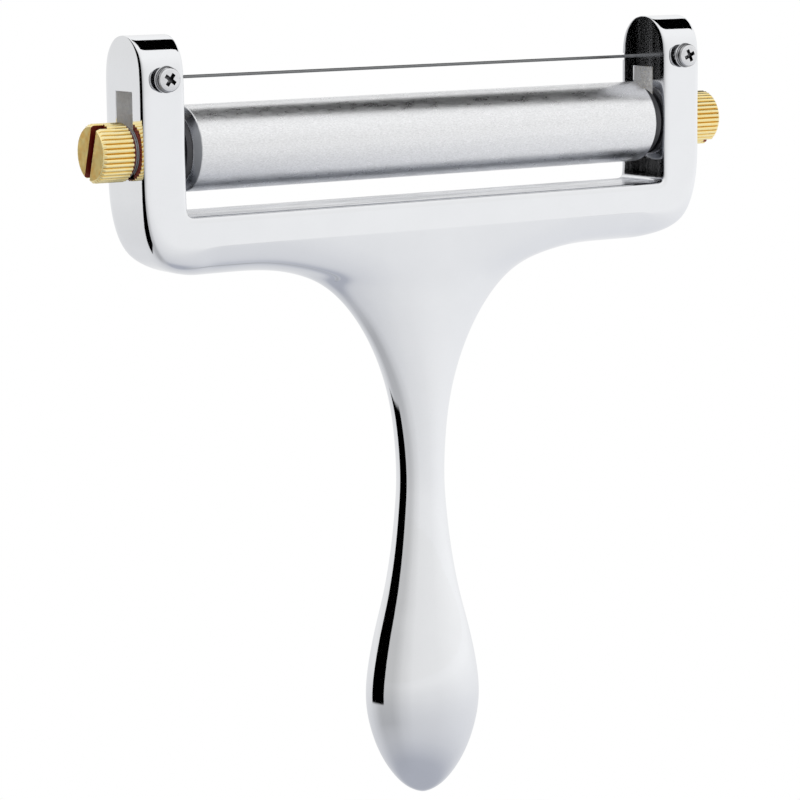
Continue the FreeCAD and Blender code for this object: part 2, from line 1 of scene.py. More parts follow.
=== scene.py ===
"""Looks of a hand-held wire cheese slicer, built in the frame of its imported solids."""

import json
import math

import bmesh
import bpy
from mathutils import Matrix, Vector


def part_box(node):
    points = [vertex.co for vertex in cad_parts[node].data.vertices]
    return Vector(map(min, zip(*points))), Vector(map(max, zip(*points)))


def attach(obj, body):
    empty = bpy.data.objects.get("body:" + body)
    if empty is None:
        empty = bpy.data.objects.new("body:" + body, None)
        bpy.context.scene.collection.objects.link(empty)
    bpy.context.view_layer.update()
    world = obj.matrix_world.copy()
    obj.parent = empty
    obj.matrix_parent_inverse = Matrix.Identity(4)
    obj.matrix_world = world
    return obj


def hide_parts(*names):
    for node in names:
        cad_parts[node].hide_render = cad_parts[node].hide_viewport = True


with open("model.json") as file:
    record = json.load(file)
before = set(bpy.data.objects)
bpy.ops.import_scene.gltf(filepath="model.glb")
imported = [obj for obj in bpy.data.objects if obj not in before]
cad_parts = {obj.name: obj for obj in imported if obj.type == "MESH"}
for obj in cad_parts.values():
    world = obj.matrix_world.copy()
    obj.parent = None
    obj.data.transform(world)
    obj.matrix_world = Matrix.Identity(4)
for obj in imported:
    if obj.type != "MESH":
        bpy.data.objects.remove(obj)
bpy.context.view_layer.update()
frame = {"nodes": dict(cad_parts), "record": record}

bl_info = {
    "name": "Wire cheese slicer",
    "version": (1, 0, 0),
    "blender": (4, 5, 0),
    "location": "View3D > Sidebar > Slicer",
    "description": "Builds the casting, roller, screws, wire and stage of a wire cheese slicer",
    "category": "Add Mesh",
}

# Pieces are drawn in millimetres and scaled to metres when they are finished
MM = 0.001
SIDES = {"left": -1.0, "right": 1.0}
# Turns a piece drawn along Z so that its length runs along X
ALONG_X = Matrix(((0, 0, 1, 0), (1, 0, 0, 0), (0, 1, 0, 0), (0, 0, 0, 1)))
SHARP_ANGLE = math.radians(35)
# Radius of a rounded edge, in metres, that wears as a sharp one does
WORN_RADIUS = 0.0004


def node_span(node, axis):
    """Length of a solid along one axis, in metres."""
    low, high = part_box(node)
    return high[axis] - low[axis]


def node_centre(node):
    """Middle of a solid's box, in millimetres."""
    low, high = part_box(node)
    return (low + high) / (2 * MM)


def length(name, description, default):
    """A size in metres that a user may change."""
    return bpy.props.FloatProperty(name=name, description=description, default=default,
                                   min=0.0, precision=5, unit="LENGTH")


def angle(name, description, degrees):
    """An angle that a user may change."""
    return bpy.props.FloatProperty(name=name, description=description,
                                   default=math.radians(degrees), unit="ROTATION")


def colour(name, description, default):
    """A colour that a user may change."""
    return bpy.props.FloatVectorProperty(name=name, description=description, default=default,
                                         size=3, min=0.0, max=1.0, subtype="COLOR")


class CastingSettings(bpy.types.PropertyGroup):
    """Sizes and colours of the chromed casting."""

    width: length("Width", "Width of the yoke over its two arms", node_span("frame", 0))
    depth: length("Depth", "Depth of the arms and the bar", 0.0127)
    arm: length("Arm", "Width of one arm", 0.0077)
    bar_top: length("Bar top", "Level of the bar's top", 0.085)
    bar_height: length("Bar height", "Height of the bar", 0.010)
    edge: length("Edge", "Reach of the rounding at the polished edges", 0.0014)
    under_edge: length("Under edge", "Reach of the rounding under the bar", 0.005)
    slot_width: length("Slot width", "Width of the arms' slots", 0.0053)
    slot_low: length("Slot foot", "Level of the lower end of the slots", 0.0913)
    slot_high: length("Slot head", "Level of the upper end of the slots", 0.105)
    slot_lip: length("Slot lip", "Width of the chamfer round the arms' slots", 0.0001)
    chrome: colour("Chrome", "Colour of the polished plate", (0.865, 0.875, 0.892))
    worn: colour("Worn chrome", "Colour of the plate where hands rub it", (0.78, 0.785, 0.80))


class RollerSettings(bpy.types.PropertyGroup):
    """Sizes and colours of the roller, its bushes and its axle."""

    length: length("Length", "Length of the tube", node_span("roller_tube", 0))
    diameter: length("Diameter", "Diameter of the tube", node_span("roller_tube", 2))
    bore: length("Bore", "Diameter of the hole through the tube", 0.011)
    chamfer: length("Chamfer", "Chamfer at the tube's ends", 0.0011)
    aluminium: colour("Aluminium", "Colour of the turned tube", (0.87, 0.875, 0.885))
    plastic: colour("Plastic", "Colour of the bushes", (0.045, 0.045, 0.05))
    steel: colour("Steel", "Colour of the axle and the plain washers", (0.55, 0.555, 0.57))


class ThumbSettings(bpy.types.PropertyGroup):
    """Sizes and colours of the thumb screws and their washers."""

    teeth: bpy.props.IntProperty(name="Teeth", description="Ridges round a head", default=36,
                                 min=8, max=90)
    head: length("Head", "Diameter of a head over its ridges", node_span("left_thumb_screw", 2))
    head_length: length("Head length", "Length of a head", 0.00595)
    tooth_depth: length("Tooth depth", "Depth of the grooves between the ridges", 0.00035)
    chamfer: length("Chamfer", "Chamfer at both ends of a head", 0.0005)
    slot_width: length("Slot width", "Width of the driver slot", 0.0017)
    slot_depth: length("Slot depth", "Depth of the driver slot", 0.0020)
    shank: length("Shank", "Diameter of a screw's shank", 0.005)
    left_lean: angle("Left lean", "Turn of the left screw's slot", -18.0)
    right_lean: angle("Right lean", "Turn of the right screw's slot", -22.0)
    brass: colour("Brass", "Colour of the polished ridges", (1.0, 0.78, 0.29))
    # Darker brass in the grooves between the ridges: painted shade
    groove: colour("Groove", "Colour of the brass down in the grooves", (0.84, 0.56, 0.15))
    # Dark red painted shade in the driver slot and on the head's back, next to the arm
    slot: colour("Slot", "Colour of the tarnished driver slot", (0.21, 0.004, 0.005))


class WireSettings(bpy.types.PropertyGroup):
    """Sizes and colours of the wire screws, their washers and the wire."""

    head: length("Head", "Diameter of a wire screw's head", node_span("left_wire_screw", 0))
    head_height: length("Head height", "Height of a wire screw's head", 0.0012)
    shank: length("Shank", "Diameter of a wire screw's shank", 0.002)
    recess_span: length("Recess span", "Length of the cross recess", 0.0025)
    recess_width: length("Recess width", "Width of the cross recess", 0.00074)
    recess_depth: length("Recess depth", "Depth of the cross recess", 0.0008)
    left_lean: angle("Left lean", "Turn of the left screw's recess", -36.0)
    right_lean: angle("Right lean", "Turn of the right screw's recess", 25.0)
    nickel: colour("Nickel", "Colour of the plated screws", (0.74, 0.745, 0.76))
    # Painted shade on the screws' sides, in their recesses and on the eye washers
    shade: colour("Shade", "Colour of the dull sides of the screws", (0.09, 0.09, 0.094))
    wire: colour("Wire", "Colour of the drawn wire", (0.22, 0.225, 0.23))


class StageSettings(bpy.types.PropertyGroup):
    """Camera, light and floor."""

    lens: bpy.props.FloatProperty(name="Lens", description="Focal length, in millimetres",
                                  default=143.02, min=1.0)
    azimuth: angle("Azimuth", "Camera's angle round the slicer, from its front", -33.668)
    elevation: angle("Elevation", "Camera's angle above the horizon", 9.001)
    roll: angle("Roll", "Camera's turn about its own line of sight", -0.6465)
    distance: length("Distance", "Camera's distance from its target", 0.54102)
    target: bpy.props.FloatVectorProperty(name="Target", description="Point the camera looks at",
                                          default=(-0.003993, 0.0, 0.050476), size=3,
                                          subtype="XYZ", unit="LENGTH")
    floor_level: bpy.props.FloatProperty(name="Floor level", description="Level of the floor",
                                         default=-0.059, precision=4, unit="LENGTH")
    floor: colour("Floor", "Colour of the floor", (0.82, 0.82, 0.82))


def put(tree, kind, values=None, **traits):
    """Add a node, with its traits and the values of its sockets."""
    node = tree.nodes.new(kind)
    for trait, setting in traits.items():
        setattr(node, trait, setting)
    for socket, value in (values or {}).items():
        node.inputs[socket].default_value = value
    return node


def new_group(name, inputs, outputs):
    """Start a shader group with its sockets, and hand back its tree and its two ends."""
    group = bpy.data.node_groups.new(name, "ShaderNodeTree")
    for label, kind, default in inputs:
        socket = group.interface.new_socket(label, in_out="INPUT", socket_type=kind)
        socket.default_value = default
    for label, kind in outputs:
        group.interface.new_socket(label, in_out="OUTPUT", socket_type=kind)
    return group, put(group, "NodeGroupInput"), put(group, "NodeGroupOutput")


def scaled_place(tree, source):
    """The surface's own coordinates, drawn out by the group's Stretch input."""
    place = put(tree, "ShaderNodeTexCoord")
    stretched = put(tree, "ShaderNodeVectorMath", operation="MULTIPLY")
    tree.links.new(place.outputs["Object"], stretched.inputs[0])
    tree.links.new(source.outputs["Stretch"], stretched.inputs[1])
    return stretched.outputs["Vector"]


def make_tool_marks():
    """Fine marks of polishing, turning or brushing, with a height and a haze."""
    group, source, result = new_group(
        "tool_marks",
        [("Scale", "NodeSocketFloat", 1000.0), ("Stretch", "NodeSocketVector", (1.0, 1.0, 1.0))],
        [("Height", "NodeSocketFloat"), ("Haze", "NodeSocketFloat")])
    place = scaled_place(group, source)
    marks = put(group, "ShaderNodeTexNoise", {"Detail": 5.0, "Roughness": 0.62})
    group.links.new(place, marks.inputs["Vector"])
    group.links.new(source.outputs["Scale"], marks.inputs["Scale"])
    group.links.new(marks.outputs["Fac"], result.inputs["Height"])
    patch_scale = put(group, "ShaderNodeMath", {1: 0.23}, operation="MULTIPLY")
    group.links.new(source.outputs["Scale"], patch_scale.inputs[0])
    patches = put(group, "ShaderNodeTexNoise", {"Detail": 3.0})
    group.links.new(place, patches.inputs["Vector"])
    group.links.new(patch_scale.outputs["Value"], patches.inputs["Scale"])
    haze = put(group, "ShaderNodeMapRange", {"From Min": 0.35, "From Max": 0.68})
    group.links.new(patches.outputs["Fac"], haze.inputs["Value"])
    group.links.new(haze.outputs["Result"], result.inputs["Haze"])
    return group


def make_edge_wear_and_hollow_shade():
    """Masks of raised edges, where a piece is handled, and of hollows, where painted shade darkens the colour,
    broken up by noise.
    """
    group, source, result = new_group(
        "edge_wear_and_hollow_shade", [("Scale", "NodeSocketFloat", 700.0)],
        [("Edge", "NodeSocketFloat"), ("Hollow shade", "NodeSocketFloat")])
    turn = put(group, "ShaderNodeAttribute", attribute_name="edge_turn")
    place = put(group, "ShaderNodeTexCoord")
    breaks = put(group, "ShaderNodeTexNoise", {"Detail": 4.0})
    group.links.new(place.outputs["Object"], breaks.inputs["Vector"])
    group.links.new(source.outputs["Scale"], breaks.inputs["Scale"])
    spread = put(group, "ShaderNodeMapRange", {"From Min": 0.3, "From Max": 0.6, "To Min": 0.35})
    group.links.new(breaks.outputs["Fac"], spread.inputs["Value"])
    for label, sign in (("Edge", 1.0), ("Hollow shade", -1.0)):
        mask = put(group, "ShaderNodeMapRange", {"From Min": 0.3 * sign, "From Max": sign})
        group.links.new(turn.outputs["Fac"], mask.inputs["Value"])
        broken = put(group, "ShaderNodeMath", operation="MULTIPLY")
        group.links.new(mask.outputs["Result"], broken.inputs[0])
        group.links.new(spread.outputs["Result"], broken.inputs[1])
        group.links.new(broken.outputs["Value"], result.inputs[label])
    return group


def place_group(tree, name, values):
    """Place a shared group in a material."""
    make = {"tool_marks": make_tool_marks, "edge_wear_and_hollow_shade": make_edge_wear_and_hollow_shade}[name]
    group = bpy.data.node_groups.get(name) or make()
    node = put(tree, "ShaderNodeGroup", node_tree=group)
    for socket, value in values.items():
        node.inputs[socket].default_value = value
    return node


def shade_ramp(tree, source, stops, cool=0.0):
    """Turn a value into a shade, by stops of a value and a shade, the darker the cooler."""
    ramp = put(tree, "ShaderNodeValToRGB")
    tree.links.new(source, ramp.inputs["Fac"])
    elements = ramp.color_ramp.elements
    for _ in range(len(stops) - len(elements)):
        elements.new(0.5)
    for element, (place, shade) in zip(elements, stops):
        element.position = place
        blue = cool * (1.0 - shade) ** 2
        element.color = (shade * (1.0 - 0.3 * blue), shade, shade * (1.0 + blue), 1.0)
    return ramp.outputs["Color"]


def mix_colours(tree, mask, plain, other):
    """Mix two plain colours, or a colour and a colour socket, by a mask."""
    mix = put(tree, "ShaderNodeMix", data_type="RGBA")
    tree.links.new(mask, mix.inputs["Factor"])
    if isinstance(plain, bpy.types.NodeSocket):
        tree.links.new(plain, mix.inputs["A"])
    else:
        mix.inputs["A"].default_value = (*plain, 1.0)
    mix.inputs["B"].default_value = (*other, 1.0)
    return mix.outputs["Result"]


def metal_finish(name, base, edge, hollow_shade, marks, roughness, bump, stretch=(1, 1, 1), grain=0.03,
                 metallic=1.0):
    """A bare or plated metal: tool marks, worn edges and painted shade in the hollows."""
    material = bpy.data.materials.new(name)
    material.use_nodes = True
    tree = material.node_tree
    shader = tree.nodes["Principled BSDF"]
    shader.inputs["Metallic"].default_value = metallic
    scratches = place_group(tree, "tool_marks", {"Scale": marks, "Stretch": stretch})
    rub = place_group(tree, "edge_wear_and_hollow_shade", {"Scale": 700.0})
    depth = put(tree, "ShaderNodeMapRange", {"From Min": 0.35, "From Max": 0.65})
    tree.links.new(scratches.outputs["Height"], depth.inputs["Value"])
    dark, pale = (tuple(part * (1 + shift) for part in base) for shift in (-grain, grain))
    streaked = mix_colours(tree, depth.outputs["Result"], dark, pale)
    worn = mix_colours(tree, rub.outputs["Edge"], streaked, edge)
    # Hollows take the darker hollow colour: painted shade in creases and recesses
    hollow_shaded = mix_colours(tree, rub.outputs["Hollow shade"], worn, hollow_shade)
    tree.links.new(hollow_shaded, shader.inputs["Base Color"])
    span = put(tree, "ShaderNodeMapRange", {"To Min": roughness[0], "To Max": roughness[1]})
    tree.links.new(scratches.outputs["Haze"], span.inputs["Value"])
    tree.links.new(span.outputs["Result"], shader.inputs["Roughness"])
    relief = put(tree, "ShaderNodeBump", {"Strength": bump[0], "Distance": bump[1]})
    tree.links.new(scratches.outputs["Height"], relief.inputs["Height"])
    tree.links.new(relief.outputs["Normal"], shader.inputs["Normal"])
    return material


def plastic_finish(name, base):
    """A moulded, matte plastic with a fine grain."""
    material = bpy.data.materials.new(name)
    material.use_nodes = True
    tree = material.node_tree
    shader = tree.nodes["Principled BSDF"]
    grain = place_group(tree, "tool_marks", {"Scale": 2600.0})
    rub = place_group(tree, "edge_wear_and_hollow_shade", {"Scale": 900.0})
    paler = tuple(min(1.0, part * 2.2) for part in base)
    tree.links.new(mix_colours(tree, rub.outputs["Edge"], base, paler),
                   shader.inputs["Base Color"])
    span = put(tree, "ShaderNodeMapRange", {"To Min": 0.42, "To Max": 0.6})
    tree.links.new(grain.outputs["Haze"], span.inputs["Value"])
    tree.links.new(span.outputs["Result"], shader.inputs["Roughness"])
    relief = put(tree, "ShaderNodeBump", {"Strength": 0.25, "Distance": 0.00004})
    tree.links.new(grain.outputs["Height"], relief.inputs["Height"])
    tree.links.new(relief.outputs["Normal"], shader.inputs["Normal"])
    return material


def finish_mesh(name, mesh, materials):
    """Make an object in metres from a mesh drawn in millimetres."""
    bmesh.ops.scale(mesh, vec=(MM, MM, MM), verts=mesh.verts)
    data = bpy.data.meshes.new(name)
    mesh.to_mesh(data)
    mesh.free()
    for material in materials:
        data.materials.append(material)
    data.shade_smooth()
    data.set_sharp_from_angle(angle=SHARP_ANGLE)
    piece = bpy.data.objects.new(name, data)
    bpy.context.scene.collection.objects.link(piece)
    return piece


def close_up(mesh):
    """Merge a mesh's doubled corners and turn its faces outwards."""
    bmesh.ops.remove_doubles(mesh, verts=mesh.verts, dist=0.0005)
    bmesh.ops.recalc_face_normals(mesh, faces=mesh.faces)


def edge_sharpness(edge):
    """How sharply two faces meet: up to 1 on an edge, down to -1 in a hollow."""
    if len(edge.link_faces) != 2:
        return 0.0
    turn = edge.calc_face_angle_signed(0.0)
    if abs(turn) > SHARP_ANGLE:
        return math.copysign(1.0, turn)
    first, second = (face.calc_center_median() for face in edge.link_faces)
    sharp = turn * WORN_RADIUS / max((first - second).length, WORN_RADIUS / 100)
    return max(-1.0, min(1.0, sharp))


def note_edges(data):
    """Keep at every corner of a mesh how sharp its edges are, for the wear in the finishes."""
    mesh = bmesh.new()
    mesh.from_mesh(data)
    sharp = [edge_sharpness(edge) for edge in mesh.edges]
    turns = data.attributes.new("edge_turn", "FLOAT", "POINT").data
    for corner in mesh.verts:
        turns[corner.index].value = max((sharp[edge.index] for edge in corner.link_edges), key=abs)
    mesh.free()


def stand_for(piece, node):
    """Note a piece's edges, put it in a solid's body and hide the solid."""
    note_edges(piece.data)
    record = frame["record"]
    bodies = record["behaviour"]["bodies"]
    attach(piece, next(body for body, nodes in bodies.items() if node in nodes))
    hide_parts(node)


def settle(piece):
    """Give a piece the mesh that its modifiers make, and drop the modifiers."""
    graph = bpy.context.evaluated_depsgraph_get()
    data = bpy.data.meshes.new_from_object(piece.evaluated_get(graph))
    old = piece.data
    piece.modifiers.clear()
    piece.data = data
    name = old.name
    bpy.data.meshes.remove(old)
    data.name = name


def cut_away(piece, mesh):
    """Cut a shape, drawn in millimetres, out of a piece."""
    cutter = finish_mesh("cutter", mesh, [])
    cut = piece.modifiers.new("cut", "BOOLEAN")
    cut.operation = "DIFFERENCE"
    cut.solver = "EXACT"
    cut.object = cutter
    settle(piece)
    data = cutter.data
    bpy.data.objects.remove(cutter)
    bpy.data.meshes.remove(data)


def bridge_rings(mesh, rings, capped=True):
    """Skin a row of rings, and fill the two end rings."""
    for first, second in zip(rings, rings[1:]):
        bmesh.ops.bridge_loops(mesh, edges=first + second)
    if capped:
        for ring in (rings[0], rings[-1]):
            bmesh.ops.edgeloop_fill(mesh, edges=ring)
    bmesh.ops.recalc_face_normals(mesh, faces=mesh.faces)


def ring_edges(corners):
    """The edges among the corners of one ring."""
    inside = set(corners)
    found = {edge for corner in corners for edge in corner.link_edges
             if edge.other_vert(corner) in inside}
    return sorted(found, key=lambda edge: min(corner.index for corner in edge.verts))


def turn_profile(mesh, profile, steps, closed, rounding=0.0):
    """Spin an outline of (radius, along) points once about the Z axis."""
    corners = [mesh.verts.new((radius, 0, along)) for radius, along in profile]
    pairs = list(zip(corners, corners[1:]))
    if closed:
        pairs.append((corners[-1], corners[0]))
    for pair in pairs:
        mesh.edges.new(pair)
    if rounding:
        angles = [corner for corner in corners if len(corner.link_edges) == 2]
        bmesh.ops.bevel(mesh, geom=angles, offset=rounding, offset_type="OFFSET",
                        affect="VERTICES", segments=3, profile=0.5, material=-1)
    bmesh.ops.spin(mesh, geom=mesh.verts[:] + mesh.edges[:], cent=(0, 0, 0), axis=(0, 0, 1),
                   angle=math.tau, steps=steps, use_merge=True)
    close_up(mesh)


# Casting


def firm(values):
    """Hold a smoothed row of values out to the values themselves."""
    held = [value + (2 * value - before - after) / 6
            for before, value, after in zip(values, values[1:], values[2:])]
    return [values[0], *held, values[-1]]


class YokeSection:
    """One section through the yoke, from its inner side to its outer side."""

    def __init__(self, inner, outer, softness, half_depth):
        self.inner = Vector((inner[0], 0, inner[1]))
        self.outer = Vector((outer[0], 0, outer[1]))
        self.softness = softness
        self.half_depth = half_depth

    def mirrored(self):
        """The same section on the other arm."""
        return YokeSection((-self.inner.x, self.inner.z), (-self.outer.x, self.outer.z),
                           self.softness, self.half_depth)

    def corners(self, full_depth, edge, under_edge):
        """Corner points round the section."""
        squeeze = self.half_depth / full_depth
        width = (self.outer - self.inner).length
        reach = edge + (under_edge - edge) * self.softness
        middle = 2.8 + (0.7 - 2.8) * self.softness
        deep = self.half_depth
        middle_way = (edge + width - reach) / 2
        hold = middle_way + (width - reach - 0.3 - middle_way) * self.softness
        back = [(deep, edge), (deep, hold), (deep, width - reach),
                (deep - 1.5 * self.softness * squeeze, width - 1.1 * self.softness),
                (deep - reach * squeeze, width)]
        inner_side = [(share * squeeze, 0) for share in
                      (-full_depth, edge - full_depth, -2.8, 0, 2.8, full_depth - edge, full_depth)]
        outer_side = [(middle * squeeze, width), (0, width), (-middle * squeeze, width)]
        front = [(-depth, across) for depth, across in reversed(back)]
        run = (self.outer - self.inner) / width
        return [self.inner + run * across + Vector((0, depth, 0))
                for depth, across in inner_side + back + outer_side + front]


# Places of a section's corners: lower front, lower back
FRONT_LOW, BACK_LOW = 17, 9
# Levels of the handle from the bar down, with its half width and half depth
HANDLE_ROWS = (
    (73.15, 22.27, 5.55), (70.2, 17.5, 5.2), (66.1, 13.37, 4.9), (60.9, 9.83, 4.6),
    (54.65, 6.97, 4.36), (47.25, 4.99, 4.18), (38.0, 4.15, 4.1), (31.9, 4.46, 4.32),
    (25.5, 5.15, 4.8), (19.0, 6.275, 5.6), (14.06, 7.46, 6.43), (8.36, 8.96, 7.49),
    (0.0, 10.4, 8.5), (-6.5, 9.65, 7.89), (-12.2, 7.55, 6.17), (-16.45, 4.53, 3.70),
    (-18.35, 2.05, 1.68),
)
HANDLE_TIP = -19.03
# Places along the bar where its sections stand, out to the handle's flare and beyond it
FLARE_STOPS = (0.0, 10.0, 20.0, 30.5)
BAR_STOPS = (38.0, 43.5)
ARM_STOPS = (92.0, 98.0, 104.0, 107.85)
ARCH_ANGLES = (30.0, 60.0, 90.0)
ARCH_HEIGHT = 6.03
ARCH_FULLNESS = 1.047
# How sharp the line stays where the bar's front and back turn under
UNDER_CREASE = 0.5


def right_sections(settings):
    """Sections from the middle of the bar to the tip of the right arm."""
    half = settings.width / (2 * MM)
    inner = half - settings.arm / MM
    top = settings.bar_top / MM
    bottom = top - settings.bar_height / MM
    deep = settings.depth / (2 * MM)
    sections = [YokeSection((stop, top), (stop, bottom), 1.0, deep)
                for stop in FLARE_STOPS + BAR_STOPS]
    sections.append(YokeSection((inner - 1.9, top), (half - 10.0, bottom), 0.8, deep))
    sections.append(YokeSection((inner, top), (half - 1.9, bottom + 1.9), 0.3, deep))
    sections.append(YokeSection((inner, top + 2.1), (half, top + 1.0), 0.0, deep))
    for level in ARM_STOPS:
        sections.append(YokeSection((inner, level), (half, level), 0.0, deep))
    for degrees in ARCH_ANGLES:
        turn = math.radians(degrees)
        level = ARM_STOPS[-1] + ARCH_HEIGHT * ARCH_FULLNESS * math.sin(turn)
        shallow = deep * math.cos(turn) * (ARCH_FULLNESS if degrees < 90 else 0.0)
        sections.append(YokeSection((inner, level), (half, level), 0.0, shallow))
    return sections


def grow_ring(mesh, ring, points):
    """Extrude a ring of corners and set the new ring on its own points."""
    edges = [mesh.edges.get(pair) for pair in zip(ring, ring[1:] + ring[:1])]
    made = set(bmesh.ops.extrude_edge_only(mesh, edges=edges)["geom"])
    grown = []
    for corner, point in zip(ring, points):
        partner = next(edge.other_vert(corner) for edge in corner.link_edges
                       if edge.other_vert(corner) in made)
        partner.co = point
        grown.append(partner)
    return grown


def crease_under(mesh, rings, softness):
    """Keep a line along the bar where its front and back turn under, fading out at the corners."""
    crease = mesh.edges.layers.float.new("crease_edge")
    for ring, beyond, here, there in zip(rings, rings[1:], softness, softness[1:]):
        for place in (FRONT_LOW, BACK_LOW):
            mesh.edges.get((ring[place], beyond[place]))[crease] = UNDER_CREASE * min(here, there)


def draw_yoke(mesh, settings):
    """The two arms and the bar: one row of sections from tip to tip."""
    right = right_sections(settings)
    sections = [section.mirrored() for section in reversed(right[1:])] + right
    full = settings.depth / (2 * MM)
    edge, under = settings.edge / MM, settings.under_edge / MM
    points = [section.corners(full, edge, under) for section in sections]
    ring = [mesh.verts.new(point) for point in points[0]]
    for pair in zip(ring, ring[1:] + ring[:1]):
        mesh.edges.new(pair)
    rings = [ring]
    for row in points[1:]:
        rings.append(grow_ring(mesh, rings[-1], row))
    return rings, [section.softness for section in sections]


def open_underside(mesh, rings):
    """Open the bar's underside between the ends of the flare, and hand back the rim of the hole."""
    middle = len(rings) // 2
    reach = len(FLARE_STOPS) - 1
    near = rings[middle - reach:middle + reach + 1]
    low = {corner for ring in near for corner in ring[BACK_LOW:FRONT_LOW + 1]}
    faces = [face for face in mesh.faces if all(corner in low for corner in face.verts)]
    left, right = near[0], near[-1]
    rim = [ring[FRONT_LOW] for ring in near[reach:]]
    rim += right[FRONT_LOW - 1:BACK_LOW:-1]
    rim += [ring[BACK_LOW] for ring in reversed(near)]
    rim += left[BACK_LOW + 1:FRONT_LOW]
    rim += [ring[FRONT_LOW] for ring in near[:reach]]
    bmesh.ops.delete(mesh, geom=faces, context="FACES")
    return rim


def draw_handle(mesh, rim):
    """The handle: ovals from the bar's underside down to the tip."""
    count = len(rim)
    fullness = 3.0 / (2.0 + math.cos(math.tau / count))
    levels, widths, depths = (firm(row) for row in zip(*HANDLE_ROWS))
    ring = rim
    for level, width, depth in zip(levels, widths, depths):
        oval = [Vector((width * fullness * math.sin(math.tau * step / count),
                        -depth * fullness * math.cos(math.tau * step / count), level))
                for step in range(count)]
        ring = grow_ring(mesh, ring, oval)
    tip = Vector((0, 0, HANDLE_TIP))
    last = grow_ring(mesh, ring, [tip] * count)
    bmesh.ops.pointmerge(mesh, verts=last, merge_co=tip)


def slot_cutters(mesh, settings):
    """The slots that the thumb screws' shanks slide in, with a chamfered lip."""
    half = settings.width / (2 * MM)
    inner = half - settings.arm / MM
    lip = settings.slot_lip / MM
    wide = settings.slot_width / (2 * MM)
    tall = (settings.slot_high - settings.slot_low) / (2 * MM)
    spill = 0.5
    for sign in SIDES.values():
        rings = []
        for along, spare in ((inner - spill, lip + spill), (inner + lip, 0.0),
                              (half - lip, 0.0), (half + spill, lip + spill)):
            corners = bmesh.ops.create_grid(mesh, x_segments=1, y_segments=1, size=1.0)["verts"]
            bmesh.ops.delete(mesh, geom=corners[0].link_faces[:], context="FACES_ONLY")
            bmesh.ops.scale(mesh, vec=(wide + spare, tall + spare, 1.0), verts=corners)
            stand = Matrix.Translation((0, 0, settings.slot_low / MM + tall)) @ ALONG_X
            bmesh.ops.transform(mesh, matrix=stand, verts=corners)
            bmesh.ops.translate(mesh, vec=(sign * along, 0, 0), verts=corners)
            rings.append(ring_edges(corners))
        bridge_rings(mesh, rings)


def peg(mesh, radius, low, high, across, level):
    """A round cutter from front to back."""
    stand = Matrix.Translation((across, (low + high) / 2, level)) @ Matrix.Rotation(math.pi / 2, 4, "X")
    bmesh.ops.create_cone(mesh, cap_ends=True, segments=32, radius1=radius, radius2=radius,
                          depth=high - low, matrix=stand)


def block(mesh, low, high):
    """A square cutter between two corners."""
    low, high = Vector(low), Vector(high)
    stand = Matrix.Translation((low + high) / 2) @ Matrix.Diagonal((*(high - low), 1))
    bmesh.ops.create_cube(mesh, size=1.0, matrix=stand)


def cut_casting(piece, settings):
    """Cut the slots, the screws' holes and the wire's way out of the casting."""
    screw = node_centre("right_wire_screw")
    wire_level = 106.6
    back = settings.depth / (2 * MM)
    first, second, third = bmesh.new(), bmesh.new(), bmesh.new()
    slot_cutters(first, settings)
    for sign in SIDES.values():
        peg(first, 1.02, -back - 1, 0.65, sign * screw.x, screw.z)
        ends = sorted((sign * 47.5, sign * 50.98))
        block(second, (ends[0], back - 0.875, wire_level - 0.6), (ends[1], back + 1, wire_level + 0.6))
        peg(third, 0.45, -back - 1, back + 1, sign * 50.53, wire_level)
    for mesh in (first, second, third):
        cut_away(piece, mesh)


def mark_finishes(piece, settings):
    """Mark the drawn inner sides and the brushed bar top, whose darker colours are partly painted shade, and
    the rough walls of the slots.
    """
    inner = settings.width / 2 - settings.arm
    for face in piece.data.polygons:
        centre, normal = face.center, face.normal
        between = abs(centre.x) < inner + 0.0002 and centre.z > settings.bar_top - 0.0003
        in_slot = (abs(centre.y) < settings.slot_width / 2 + 0.0001
                   and settings.slot_low - 0.0001 < centre.z < settings.slot_high + 0.0001)
        if in_slot and abs(normal.x) < 0.3 and abs(centre.x) > inner:
            face.material_index = 2
        elif between and normal.z > 0.9:
            face.material_index = 3
        elif between and normal.x * centre.x < -0.9 * abs(centre.x):
            face.material_index = 1
        else:
            face.material_index = 0


